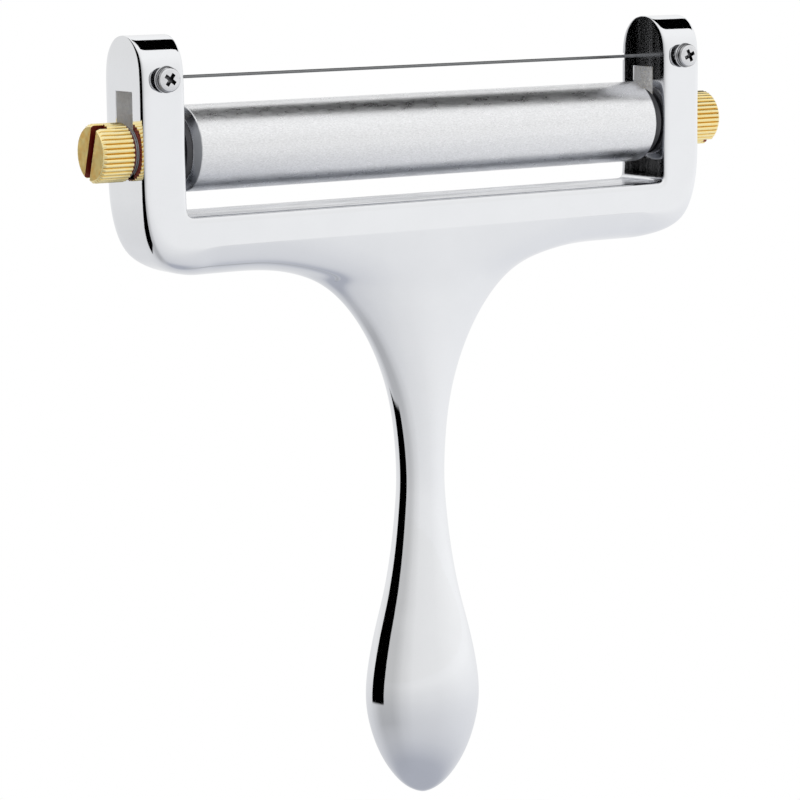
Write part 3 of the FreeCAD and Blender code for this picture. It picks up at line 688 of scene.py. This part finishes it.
class SLICER_OT_casting(bpy.types.Operator):
    """Build the chromed casting: yoke and handle in one"""

    bl_idname = "slicer.casting"
    bl_label = "Casting"

    def execute(self, context):
        settings = context.scene.slicer_casting
        mesh = bmesh.new()
        rings, softness = draw_yoke(mesh, settings)
        draw_handle(mesh, open_underside(mesh, rings))
        crease_under(mesh, rings, softness)
        close_up(mesh)
        polished = metal_finish("polished_chrome", settings.chrome, settings.worn, (0.62, 0.63, 0.66),
                                marks=160.0, roughness=(0.03, 0.07), bump=(0.06, 0.0002), grain=0.008)
        # Drawn inner sides: a drawn finish, darkened further with painted shade between the arms
        drawn = metal_finish("drawn_shaded_chrome", (0.62, 0.625, 0.65), settings.worn, (0.5, 0.5, 0.52),
                             marks=900.0, roughness=(0.06, 0.14), bump=(0.12, 0.0001),
                             stretch=(1.0, 1.0, 0.08), grain=0.12)
        # Brushed bar top: brushed streaks, darkened further with painted shade under the roller
        brushed = metal_finish("brushed_shaded_chrome", (0.54, 0.555, 0.59), settings.worn, (0.4, 0.4, 0.42),
                               marks=1500.0, roughness=(0.16, 0.32), bump=(0.3, 0.0001),
                               stretch=(0.12, 1.0, 1.0), grain=0.3)
        rough = metal_finish("as_cast_chrome", (0.93, 0.95, 0.98), (0.86, 0.87, 0.89), (0.45, 0.46, 0.49),
                             marks=1100.0, roughness=(0.3, 0.5), bump=(0.45, 0.0003), grain=0.1,
                             metallic=0.25)
        piece = finish_mesh("yoke_casting", mesh, [polished, drawn, rough, brushed])
        smooth = piece.modifiers.new("smooth", "SUBSURF")
        smooth.levels = smooth.render_levels = 3
        settle(piece)
        cut_casting(piece, settings)
        mark_finishes(piece, settings)
        piece.data.shade_smooth()
        piece.data.set_sharp_from_angle(angle=SHARP_ANGLE)
        stand_for(piece, "frame")
        return {"FINISHED"}


# Roller


class SLICER_OT_roller(bpy.types.Operator):
    """Build the turned roller with its bushes, and finish the axle"""

    bl_idname = "slicer.roller"
    bl_label = "Roller"

    def execute(self, context):
        settings = context.scene.slicer_roller
        axis = Matrix.Translation((0, 0, node_centre("roller_tube").z)) @ ALONG_X
        self.build_tube(settings, axis)
        plastic = plastic_finish("bush_plastic", settings.plastic)
        for side, sign in SIDES.items():
            self.build_bush(settings, axis, side, sign, plastic)
        drawn = metal_finish("drawn_steel", settings.steel, (0.68, 0.68, 0.69), (0.3, 0.3, 0.31),
                             marks=1800.0, roughness=(0.22, 0.38), bump=(0.2, 0.00005),
                             stretch=(1.0, 0.05, 0.05))
        frame["nodes"]["roller_axle"].material_slots[0].material = drawn
        return {"FINISHED"}

    def build_tube(self, settings, axis):
        """The tube, with a chamfer at each end."""
        half = settings.length / (2 * MM)
        skin, bore = settings.diameter / (2 * MM), settings.bore / (2 * MM)
        chamfer = settings.chamfer / MM
        mesh = bmesh.new()
        turn_profile(mesh, [
            (bore, -half), (skin - chamfer, -half), (skin, chamfer - half),
            (skin, half - chamfer), (skin - chamfer, half), (bore, half),
        ], steps=128, closed=True, rounding=0.16)
        bmesh.ops.transform(mesh, matrix=axis, verts=mesh.verts)
        turned = metal_finish("turned_aluminium", settings.aluminium, (0.86, 0.865, 0.87),
                              (0.5, 0.5, 0.52), marks=6000.0, roughness=(0.27, 0.34),
                              bump=(0.02, 0.00001), stretch=(0.4, 1.0, 1.0), grain=0.10)
        # The tube's ends and chamfers are dark grey: painted shade where the tube meets the arms
        ends = metal_finish("shaded_turned_ends", (0.26, 0.27, 0.29), settings.aluminium, (0.15, 0.15, 0.16),
                            marks=3000.0, roughness=(0.25, 0.36), bump=(0.05, 0.00002))
        piece = finish_mesh("roller_barrel", mesh, [turned, ends])
        # End faces and chamfers take the painted shade
        for face in piece.data.polygons:
            face.material_index = 1 if abs(face.normal.x) > 0.3 else 0
        stand_for(piece, "roller_tube")

    def build_bush(self, settings, axis, side, sign, plastic):
        """A flanged bush in one end of the tube."""
        low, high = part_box(f"{side}_roller_bush")
        start, end = sorted((abs(low.x) / MM, abs(high.x) / MM))
        flange = (high.z - low.z) / (2 * MM)
        sleeve = settings.bore / (2 * MM)
        hole = node_span("roller_axle", 2) / (2 * MM) + 0.05
        mesh = bmesh.new()
        turn_profile(mesh, [
            (hole, start), (sleeve, start), (sleeve, end - 1.0), (flange, end - 1.0),
            (flange, end), (hole, end),
        ], steps=64, closed=True, rounding=0.12)
        if sign < 0:
            bmesh.ops.rotate(mesh, matrix=Matrix.Rotation(math.pi, 3, "X"), verts=mesh.verts)
        bmesh.ops.transform(mesh, matrix=axis, verts=mesh.verts)
        stand_for(finish_mesh(f"{side}_bush", mesh, [plastic]), f"{side}_roller_bush")


# Thumb screws


class SLICER_OT_thumb_screws(bpy.types.Operator):
    """Build both knurled thumb screws and their washers"""

    bl_idname = "slicer.thumb_screws"
    bl_label = "Thumb screws"

    # How deep one ridge's outline is cut, from the bottom of a groove round to the next
    RIDGE = (1.0, 0.42, 0.09, 0.0, 0.09, 0.42)

    def execute(self, context):
        settings = context.scene.slicer_thumb
        bright = metal_finish("bright_brass", settings.brass, (0.96, 0.83, 0.46), settings.groove,
                              marks=1500.0, roughness=(0.10, 0.2), bump=(0.1, 0.00004))
        satin = metal_finish("satin_brass", (0.97, 0.50, 0.06), settings.brass, settings.groove,
                             marks=3600.0, roughness=(0.3, 0.42), bump=(0.3, 0.00004))
        # Grooves: painted shade, darker brass down between the ridges
        groove = metal_finish("groove_shade_brass", settings.groove, settings.brass, (0.4, 0.2, 0.04),
                              marks=2400.0, roughness=(0.2, 0.35), bump=(0.2, 0.00004))
        # Dark red painted shade for the driver slot and for the head's back face and inner chamfer
        slot = metal_finish("painted_shade_brass", settings.slot, (0.26, 0.05, 0.02), settings.slot,
                            marks=2400.0, roughness=(0.3, 0.5), bump=(0.3, 0.00004), metallic=0.3)
        # Nearly black washers: painted shade between the heads and the arms
        steel = metal_finish("shaded_washer_steel", (0.13, 0.13, 0.135), (0.3, 0.3, 0.31), (0.05, 0.05, 0.05),
                             marks=2200.0, roughness=(0.25, 0.4), bump=(0.2, 0.00005))
        leans = {"left": settings.left_lean, "right": settings.right_lean}
        for side in SIDES:
            self.build_screw(settings, side, leans[side], [bright, satin, groove, slot])
            self.build_washer(settings, side, steel)
        return {"FINISHED"}

    def stand(self, node, side, lean, seat):
        """Place of a piece that points out of one side of the yoke."""
        level = node_centre(node).z
        facing = Matrix.Rotation(math.pi if side == "left" else 0.0, 4, "Z")
        lie = Matrix.Rotation(lean, 4, "X")
        return Matrix.Translation((SIDES[side] * seat, 0, level)) @ facing @ lie @ ALONG_X

    def toothed_ring(self, mesh, settings, along, limit):
        """A ring of ridges and grooves, no wider than its limit."""
        skin, depth = settings.head / (2 * MM), settings.tooth_depth / MM
        place = Matrix.Translation((0, 0, along))
        corners = bmesh.ops.create_circle(mesh, segments=len(self.RIDGE) * settings.teeth,
                                          radius=skin, matrix=place)["verts"]
        for step, cut in enumerate(self.RIDGE):
            shrink = min(skin - cut * depth, limit) / skin
            bmesh.ops.scale(mesh, vec=(shrink, shrink, 1.0), verts=corners[step::len(self.RIDGE)])
        return ring_edges(corners)

    def build_screw(self, settings, side, lean, materials):
        """One screw: shank, knurled head and driver slot."""
        node = f"{side}_thumb_screw"
        low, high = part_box(node)
        outer, inner = sorted((abs(low.x) / MM, abs(high.x) / MM), reverse=True)
        tall = settings.head_length / MM
        seat = outer - tall
        reach = inner - seat
        skin, chamfer = settings.head / (2 * MM), settings.chamfer / MM
        shank = settings.shank / (2 * MM)
        mesh = bmesh.new()
        rows = ((reach, shank - 0.45), (reach + 0.45, shank), (0.0, shank), (0.0, skin - chamfer),
                (0.15, skin - chamfer + 0.15), (chamfer, skin), (tall - chamfer, skin),
                (tall - 0.15, skin - chamfer + 0.15), (tall, skin - chamfer))
        rings = [self.toothed_ring(mesh, settings, along, limit) for along, limit in rows]
        bridge_rings(mesh, rings)
        piece = finish_mesh(f"{side}_knurled_screw", mesh, materials)
        slot = bmesh.new()
        half = settings.slot_width / (2 * MM)
        block(slot, (-half, -skin - 1, tall - settings.slot_depth / MM), (half, skin + 1, tall + 1))
        cut_away(piece, slot)
        self.mark_finishes(piece, settings)
        piece.data.transform(self.metre_place(self.stand(node, side, lean, seat)))
        piece.data.set_sharp_from_angle(angle=SHARP_ANGLE)
        soften = piece.modifiers.new("soften", "BEVEL")
        soften.width, soften.segments = 0.00005, 2
        soften.limit_method, soften.angle_limit = "ANGLE", math.radians(35)
        stand_for(piece, node)

    def mark_finishes(self, piece, settings):
        """Bright ridges, grooves darkened with painted shade, a satin end, and painted shade in the driver slot
        and on the head's back.
        """
        end, floor = settings.head_length, settings.head_length - settings.slot_depth
        low = settings.head / 2 - 0.6 * settings.tooth_depth
        for face in piece.data.polygons:
            centre, normal = face.center, face.normal
            in_slot = abs(centre.x) < settings.slot_width / 2 + 0.00001 and centre.z < end - 0.00001
            # The slot's walls and floor take the painted shade
            if centre.z > floor - 0.00001 and in_slot and (abs(normal.x) > 0.9 or normal.z > 0.9):
                face.material_index = 3
            elif normal.z > 0.95:
                face.material_index = 1
            # The inner chamfer and back face, next to the arm, take the painted shade too
            elif -0.00001 < centre.z < settings.chamfer and math.hypot(centre.x, centre.y) > settings.shank / 2:
                face.material_index = 3
            # Faces down in the grooves take the painted groove shade
            elif 0 < centre.z < end and math.hypot(centre.x, centre.y) < low and normal.z < 0.3:
                face.material_index = 2

    def metre_place(self, stand):
        """The same place for a mesh that is already in metres."""
        return Matrix.Diagonal((MM, MM, MM, 1)) @ stand @ Matrix.Diagonal((1 / MM, 1 / MM, 1 / MM, 1))

    def build_washer(self, settings, side, steel):
        """The plain washer under one head."""
        node = f"{side}_thumb_washer"
        low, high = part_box(node)
        thick, rim = (high.x - low.x) / MM, (high.z - low.z) / (2 * MM)
        hole = settings.shank / (2 * MM) + 0.1
        mesh = bmesh.new()
        turn_profile(mesh, [(hole, 0), (rim, 0), (rim, thick), (hole, thick)], steps=64,
                     closed=True, rounding=0.12)
        seat = min(abs(low.x), abs(high.x)) / MM
        bmesh.ops.transform(mesh, matrix=self.stand(node, side, 0.0, seat), verts=mesh.verts)
        stand_for(finish_mesh(f"{side}_plain_washer", mesh, [steel]), node)


# Wire and its fixings


class SLICER_OT_wire(bpy.types.Operator):
    """Build the wire screws and their washers, and finish the wire"""

    bl_idname = "slicer.wire"
    bl_label = "Wire and its screws"

    def execute(self, context):
        settings = context.scene.slicer_wire
        nickel = metal_finish("nickel_plate", settings.nickel, (0.84, 0.84, 0.85), (0.12, 0.12, 0.125),
                              marks=2600.0, roughness=(0.12, 0.24), bump=(0.12, 0.00004))
        # Near-black nickel: painted shade for the screws' sides and recesses and the eye washers
        shaded = metal_finish("painted_shade_nickel", settings.shade, settings.nickel, (0.06, 0.06, 0.062),
                            marks=2600.0, roughness=(0.2, 0.32), bump=(0.12, 0.00004))
        wire = metal_finish("drawn_wire", settings.wire, (0.4, 0.4, 0.41), (0.1, 0.1, 0.11),
                            marks=2600.0, roughness=(0.2, 0.34), bump=(0.2, 0.00002),
                            stretch=(0.1, 1.0, 1.0))
        frame["nodes"]["cutting_wire"].material_slots[0].material = wire
        leans = {"left": settings.left_lean, "right": settings.right_lean}
        for side in SIDES:
            self.build_screw(settings, side, leans[side], [nickel, shaded])
            self.build_washer(settings, side, shaded)
        return {"FINISHED"}

    def stand(self, node, seat, lean):
        """Place of a piece that points out of the front of an arm."""
        centre = node_centre(node)
        facing = Matrix.Rotation(-math.pi / 2, 4, "Z")
        lie = Matrix.Rotation(lean, 4, "X")
        return Matrix.Translation((centre.x, seat, centre.z)) @ facing @ lie @ ALONG_X

    def build_screw(self, settings, side, lean, materials):
        """One pan-head screw with its cross recess: a bright crown, with painted shade on its sides and in its
        recess.
        """
        node = f"{side}_wire_screw"
        low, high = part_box(node)
        tall, skin = settings.head_height / MM, settings.head / (2 * MM)
        seat = low.y / MM + tall
        reach = seat - high.y / MM
        shank = settings.shank / (2 * MM)
        mesh = bmesh.new()
        turn_profile(mesh, [
            (0, reach), (shank - 0.3, reach), (shank, reach + 0.3), (shank, 0), (skin, 0),
            (skin, 0.52 * tall), (0.98 * skin, 0.68 * tall), (0.90 * skin, 0.84 * tall),
            (0.76 * skin, 0.935 * tall), (0.45 * skin, 0.985 * tall), (0, tall),
        ], steps=64, closed=False)
        piece = finish_mesh(f"{side}_pan_head_screw", mesh, materials)
        half, span = settings.recess_width / (2 * MM), settings.recess_span / (2 * MM)
        floor = tall - settings.recess_depth / MM
        for wide, long in ((half, span), (span, half)):
            cross = bmesh.new()
            block(cross, (-wide, -long, floor), (wide, long, tall + 0.5))
            deep = [corner for corner in cross.verts if corner.co.z < floor + 0.01]
            bmesh.ops.scale(cross, vec=(0.72, 0.72, 1.0), verts=deep)
            cut_away(piece, cross)
        # Only the crown keeps the bright nickel; sides and recess get the painted shade
        for face in piece.data.polygons:
            crown = face.normal.z > 0.8 and face.center.z > 0.8 * settings.head_height
            face.material_index = 0 if crown else 1
        stand = self.stand(node, seat, lean)
        metres = Matrix.Diagonal((MM, MM, MM, 1)) @ stand @ Matrix.Diagonal((1 / MM, 1 / MM, 1 / MM, 1))
        piece.data.transform(metres)
        piece.data.set_sharp_from_angle(angle=SHARP_ANGLE)
        soften = piece.modifiers.new("soften", "BEVEL")
        soften.width, soften.segments = 0.00004, 2
        soften.limit_method, soften.angle_limit = "ANGLE", math.radians(40)
        stand_for(piece, node)

    def build_washer(self, settings, side, shaded):
        """The washer that clamps one eye of the wire."""
        node = f"{side}_wire_washer"
        low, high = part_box(node)
        thick, rim = (high.y - low.y) / MM, (high.z - low.z) / (2 * MM)
        hole = settings.shank / (2 * MM) + 0.1
        mesh = bmesh.new()
        turn_profile(mesh, [(hole, 0), (rim, 0), (rim, thick), (hole, thick)], steps=48,
                     closed=True, rounding=0.09)
        bmesh.ops.transform(mesh, matrix=self.stand(node, high.y / MM, 0.0), verts=mesh.verts)
        # The eye washer takes the painted shade nickel
        stand_for(finish_mesh(f"{side}_eye_washer", mesh, [shaded]), node)


# Stage


class SLICER_OT_stage(bpy.types.Operator):
    """Set up the floor, the room, the light and the camera"""

    bl_idname = "slicer.stage"
    bl_label = "Stage"

    # The side of the room that is least lit, and how white the room is from the other side round to it
    DIM_SIDE = (-0.996, 0.087, 0.0)
    ROOM_SHADES = ((0.0, 0.98), (0.15, 0.93), (0.34, 0.88), (0.55, 0.86), (0.74, 0.842), (0.89, 0.73),
                   (0.98, 0.575))
    ROOM_MIDDLE = 0.87
    # How pale the floor is in reflections, by its distance in metres: a painted shade, darker close by
    FLOOR_SHADES = ((0.0, 0.46), (0.02, 0.46), (0.033, 0.475), (0.047, 0.565), (0.062, 0.64), (0.08, 0.68),
                    (0.113, 0.705), (0.168, 0.745), (0.284, 0.80), (0.55, 0.85), (0.95, 0.89))
    # The unlit corner of the room, at the slicer's left and behind it: the cosines of its edges and its top
    DARK_CORNER = (-0.8339, 0.5519, 0.0)
    DARK_EDGES = (0.9219, 0.9259)
    DARK_TOP = 0.42
    # How far off the unlit corner begins on the floor, in metres
    DARK_START = (0.205, 0.225)
    # The unlit strip of ceiling: its middle, the way across it, half its width, and its middle and half length
    STRIP_MIDDLE = (0.559, 0.0, 0.829)
    STRIP_ACROSS = (0.829, 0.0, -0.559)
    STRIP_HALF_WIDTH = 0.287
    STRIP_LENGTH = (0.145, 0.345)

    def execute(self, context):
        settings = context.scene.slicer_stage
        self.build_floor(settings)
        self.light_world(context.scene)
        self.place_lamps()
        self.place_camera(context.scene, settings)
        context.scene.view_settings.view_transform = "Standard"
        return {"FINISHED"}

    def build_floor(self, settings):
        """A pale floor, well below the handle, that keeps the slicer's shadow."""
        mesh = bmesh.new()
        bmesh.ops.create_grid(mesh, x_segments=1, y_segments=1, size=3000)
        bmesh.ops.translate(mesh, vec=(0, 0, settings.floor_level / MM), verts=mesh.verts)
        material = bpy.data.materials.new("pale_floor")
        material.use_nodes = True
        tree = material.node_tree
        matt = tree.nodes["Principled BSDF"]
        matt.inputs["Base Color"].default_value = (*settings.floor, 1.0)
        matt.inputs["Roughness"].default_value = 0.9
        matt.inputs["Specular IOR Level"].default_value = 0.0
        path = put(tree, "ShaderNodeLightPath")
        place = put(tree, "ShaderNodeTexCoord")
        flat = put(tree, "ShaderNodeVectorMath", {1: (1.0, 1.0, 0.0)}, operation="MULTIPLY")
        tree.links.new(place.outputs["Object"], flat.inputs[0])
        away = put(tree, "ShaderNodeVectorMath", operation="LENGTH")
        tree.links.new(flat.outputs["Vector"], away.inputs[0])
        fade = put(tree, "ShaderNodeMapRange", {"From Min": 0.06, "From Max": 0.135, "To Min": 0.7},
                   interpolation_type="SMOOTHSTEP")
        tree.links.new(away.outputs["Value"], fade.inputs["Value"])
        white = put(tree, "ShaderNodeEmission", {"Color": (1.0, 1.0, 1.0, 1.0), "Strength": 1.0})
        far = put(tree, "ShaderNodeMath", operation="MULTIPLY")
        tree.links.new(fade.outputs["Result"], far.inputs[0])
        tree.links.new(path.outputs["Is Camera Ray"], far.inputs[1])
        seen = put(tree, "ShaderNodeMixShader")
        tree.links.new(far.outputs["Value"], seen.inputs["Fac"])
        tree.links.new(matt.outputs["BSDF"], seen.inputs[1])
        tree.links.new(white.outputs["Emission"], seen.inputs[2])
        mirrored = put(tree, "ShaderNodeEmission", {"Strength": 1.0})
        tree.links.new(self.floor_shade(tree, flat, away), mirrored.inputs["Color"])
        surface = put(tree, "ShaderNodeMixShader")
        tree.links.new(path.outputs["Is Glossy Ray"], surface.inputs["Fac"])
        tree.links.new(seen.outputs["Shader"], surface.inputs[1])
        tree.links.new(mirrored.outputs["Emission"], surface.inputs[2])
        side = put(tree, "ShaderNodeNewGeometry")
        from_below = put(tree, "ShaderNodeMixShader")
        tree.links.new(side.outputs["Backfacing"], from_below.inputs["Fac"])
        tree.links.new(surface.outputs["Shader"], from_below.inputs[1])
        tree.links.new(put(tree, "ShaderNodeBsdfTransparent").outputs["BSDF"], from_below.inputs[2])
        tree.links.new(from_below.outputs["Shader"],
                       tree.nodes["Material Output"].inputs["Surface"])
        finish_mesh("floor", mesh, [material])

    def room_shade(self, tree, way):
        """How white the room is in some level direction: less so at the slicer's left."""
        facing = put(tree, "ShaderNodeVectorMath", {1: self.DIM_SIDE}, operation="DOT_PRODUCT")
        tree.links.new(way, facing.inputs[0])
        share = put(tree, "ShaderNodeMapRange", {"From Min": -1.0, "From Max": 1.0})
        tree.links.new(facing.outputs["Value"], share.inputs["Value"])
        return shade_ramp(tree, share.outputs["Result"], self.ROOM_SHADES)

    def dark_corner(self, tree, way, near, limits):
        """Where the unlit corner of the room shows, by direction and by one more measure."""
        facing = put(tree, "ShaderNodeVectorMath", {1: self.DARK_CORNER}, operation="DOT_PRODUCT")
        tree.links.new(way, facing.inputs[0])
        low, high = self.DARK_EDGES
        inside = put(tree, "ShaderNodeMapRange", {"From Min": low, "From Max": high})
        tree.links.new(facing.outputs["Value"], inside.inputs["Value"])
        start, end = limits
        within = put(tree, "ShaderNodeMapRange", {"From Min": start, "From Max": end})
        tree.links.new(near, within.inputs["Value"])
        both = put(tree, "ShaderNodeMath", operation="MULTIPLY")
        tree.links.new(inside.outputs["Result"], both.inputs[0])
        tree.links.new(within.outputs["Result"], both.inputs[1])
        return both.outputs["Value"]

    def dark_strip(self, tree, way, level):
        """Where the unlit strip of ceiling shows."""
        along = put(tree, "ShaderNodeVectorMath", {1: self.STRIP_MIDDLE}, operation="DOT_PRODUCT")
        across = put(tree, "ShaderNodeVectorMath", {1: self.STRIP_ACROSS}, operation="DOT_PRODUCT")
        for node in (along, across):
            tree.links.new(way, node.inputs[0])
        lean = put(tree, "ShaderNodeMath", operation="DIVIDE")
        tree.links.new(across.outputs["Value"], lean.inputs[0])
        tree.links.new(along.outputs["Value"], lean.inputs[1])
        wide = put(tree, "ShaderNodeMath", {1: 0.0, 2: self.STRIP_HALF_WIDTH}, operation="COMPARE")
        tree.links.new(lean.outputs["Value"], wide.inputs[0])
        middle, half = self.STRIP_LENGTH
        long = put(tree, "ShaderNodeMath", {1: middle, 2: half}, operation="COMPARE")
        tree.links.new(level, long.inputs[0])
        above = put(tree, "ShaderNodeMath", {1: 0.0}, operation="GREATER_THAN")
        tree.links.new(along.outputs["Value"], above.inputs[0])
        inside = wide.outputs["Value"]
        for limit in (long, above):
            both = put(tree, "ShaderNodeMath", operation="MULTIPLY")
            tree.links.new(inside, both.inputs[0])
            tree.links.new(limit.outputs["Value"], both.inputs[1])
            inside = both.outputs["Value"]
        return inside

    def floor_shade(self, tree, flat, away):
        """The floor as polished metal shows it, painted: a blue-grey shade close by, like the room far off,
        black in the unlit corner.
        """
        way = put(tree, "ShaderNodeVectorMath", operation="NORMALIZE")
        tree.links.new(flat.outputs["Vector"], way.inputs[0])
        shade = shade_ramp(tree, away.outputs["Value"], self.FLOOR_SHADES, cool=0.42)
        even = put(tree, "ShaderNodeVectorMath", {1: (1 / self.ROOM_MIDDLE,) * 3}, operation="MULTIPLY")
        tree.links.new(self.room_shade(tree, way.outputs["Vector"]), even.inputs[0])
        distant = put(tree, "ShaderNodeMapRange", {"From Min": 0.015, "From Max": 0.1})
        tree.links.new(away.outputs["Value"], distant.inputs["Value"])
        dimmed = put(tree, "ShaderNodeMix", data_type="RGBA", blend_type="MULTIPLY")
        tree.links.new(distant.outputs["Result"], dimmed.inputs["Factor"])
        tree.links.new(shade, dimmed.inputs["A"])
        tree.links.new(even.outputs["Vector"], dimmed.inputs["B"])
        dark = self.dark_corner(tree, way.outputs["Vector"], away.outputs["Value"], self.DARK_START)
        return mix_colours(tree, dark, dimmed.outputs["Result"], (0.0, 0.0, 0.0))

    def light_world(self, scene):
        """A white surround for the eye, the room for reflections, and a softer one for light."""
        world = bpy.data.worlds.new("studio")
        world.use_nodes = True
        tree = world.node_tree
        soft = tree.nodes["Background"]
        soft.inputs["Color"].default_value = (0.97, 0.98, 1.0, 1.0)
        soft.inputs["Strength"].default_value = 0.45
        white = put(tree, "ShaderNodeBackground", {"Color": (1.0, 1.0, 1.0, 1.0), "Strength": 1.0})
        room = put(tree, "ShaderNodeBackground", {"Strength": 1.0})
        way = put(tree, "ShaderNodeTexCoord")
        parts = put(tree, "ShaderNodeSeparateXYZ")
        tree.links.new(way.outputs["Generated"], parts.inputs["Vector"])
        flat = put(tree, "ShaderNodeVectorMath", {1: (1.0, 1.0, 0.0)}, operation="MULTIPLY")
        tree.links.new(way.outputs["Generated"], flat.inputs[0])
        level = put(tree, "ShaderNodeVectorMath", operation="NORMALIZE")
        tree.links.new(flat.outputs["Vector"], level.inputs[0])
        overhead = put(tree, "ShaderNodeMapRange", {"From Min": 0.2, "From Max": 0.65})
        tree.links.new(parts.outputs["Z"], overhead.inputs["Value"])
        walls = mix_colours(tree, overhead.outputs["Result"],
                            self.room_shade(tree, level.outputs["Vector"]), (1.0, 1.0, 1.0))
        corner = self.dark_corner(tree, level.outputs["Vector"], parts.outputs["Z"],
                                  (self.DARK_TOP, self.DARK_TOP - 0.02))
        walls = mix_colours(tree, corner, walls, (0.0, 0.0, 0.0))
        strip = self.dark_strip(tree, way.outputs["Generated"], parts.outputs["Y"])
        shade = mix_colours(tree, strip, walls, (0.0, 0.0, 0.0))
        tree.links.new(shade, room.inputs["Color"])
        path = put(tree, "ShaderNodeLightPath")
        seen = put(tree, "ShaderNodeMath", operation="MAXIMUM")
        tree.links.new(path.outputs["Is Camera Ray"], seen.inputs[0])
        tree.links.new(path.outputs["Is Transmission Ray"], seen.inputs[1])
        backdrop = put(tree, "ShaderNodeMixShader")
        tree.links.new(seen.outputs["Value"], backdrop.inputs["Fac"])
        tree.links.new(soft.outputs["Background"], backdrop.inputs[1])
        tree.links.new(white.outputs["Background"], backdrop.inputs[2])
        mix = put(tree, "ShaderNodeMixShader")
        tree.links.new(path.outputs["Is Glossy Ray"], mix.inputs["Fac"])
        tree.links.new(backdrop.outputs["Shader"], mix.inputs[1])
        tree.links.new(room.outputs["Background"], mix.inputs[2])
        tree.links.new(mix.outputs["Shader"], tree.nodes["World Output"].inputs["Surface"])
        scene.world = world

    def place_lamps(self):
        """One broad soft lamp, high at the front right."""
        for name, place, power, size in (("key_lamp", (0.66, -0.78, 0.71), 8.4, 1.6),):
            lamp = bpy.data.lights.new(name, "AREA")
            lamp.energy, lamp.size = power, size
            holder = bpy.data.objects.new(name, lamp)
            holder.location = place
            holder.visible_glossy = False
            aim = Vector((0, 0, 0.06)) - Vector(place)
            holder.rotation_euler = aim.to_track_quat("-Z", "Y").to_euler()
            bpy.context.scene.collection.objects.link(holder)

    def place_camera(self, scene, settings):
        """The camera that sees the slicer as photographed."""
        data = bpy.data.cameras.new("camera")
        data.lens = settings.lens
        data.sensor_width = 36.0
        data.clip_start = 0.01
        camera = bpy.data.objects.new("camera", data)
        turn = (Matrix.Rotation(settings.azimuth, 4, "Z")
                @ Matrix.Rotation(math.pi / 2 - settings.elevation, 4, "X")
                @ Matrix.Rotation(settings.roll, 4, "Z"))
        back = turn @ Vector((0, 0, 1))
        place = Vector(settings.target) + back * settings.distance
        camera.matrix_world = Matrix.Translation(place) @ turn
        scene.collection.objects.link(camera)
        scene.camera = camera


class SLICER_PT_panel(bpy.types.Panel):
    """Lists the slicer's pieces and their settings"""

    bl_idname = "SLICER_PT_panel"
    bl_label = "Wire cheese slicer"
    bl_space_type = "VIEW_3D"
    bl_region_type = "UI"
    bl_category = "Slicer"

    def draw(self, context):
        for operator, group in STEPS:
            box = self.layout.box()
            box.operator(operator.bl_idname)
            settings = getattr(context.scene, group)
            for name in settings.__annotations__:
                box.prop(settings, name)


STEPS = (
    (SLICER_OT_casting, "slicer_casting"),
    (SLICER_OT_roller, "slicer_roller"),
    (SLICER_OT_thumb_screws, "slicer_thumb"),
    (SLICER_OT_wire, "slicer_wire"),
    (SLICER_OT_stage, "slicer_stage"),
)
GROUPS = {
    "slicer_casting": CastingSettings,
    "slicer_roller": RollerSettings,
    "slicer_thumb": ThumbSettings,
    "slicer_wire": WireSettings,
    "slicer_stage": StageSettings,
}


def register():
    """Register the settings, the operators and the panel."""
    for name, group in GROUPS.items():
        bpy.utils.register_class(group)
        setattr(bpy.types.Scene, name, bpy.props.PointerProperty(type=group))
    for operator, _ in STEPS:
        bpy.utils.register_class(operator)
    bpy.utils.register_class(SLICER_PT_panel)


def unregister():
    """Take them all away again."""
    bpy.utils.unregister_class(SLICER_PT_panel)
    for operator, _ in reversed(STEPS):
        bpy.utils.unregister_class(operator)
    for name, group in GROUPS.items():
        delattr(bpy.types.Scene, name)
        bpy.utils.unregister_class(group)


def main():
    """Build every piece and the stage."""
    register()
    bpy.ops.slicer.casting()
    bpy.ops.slicer.roller()
    bpy.ops.slicer.thumb_screws()
    bpy.ops.slicer.wire()
    bpy.ops.slicer.stage()


if __name__ == "__main__":
    main()
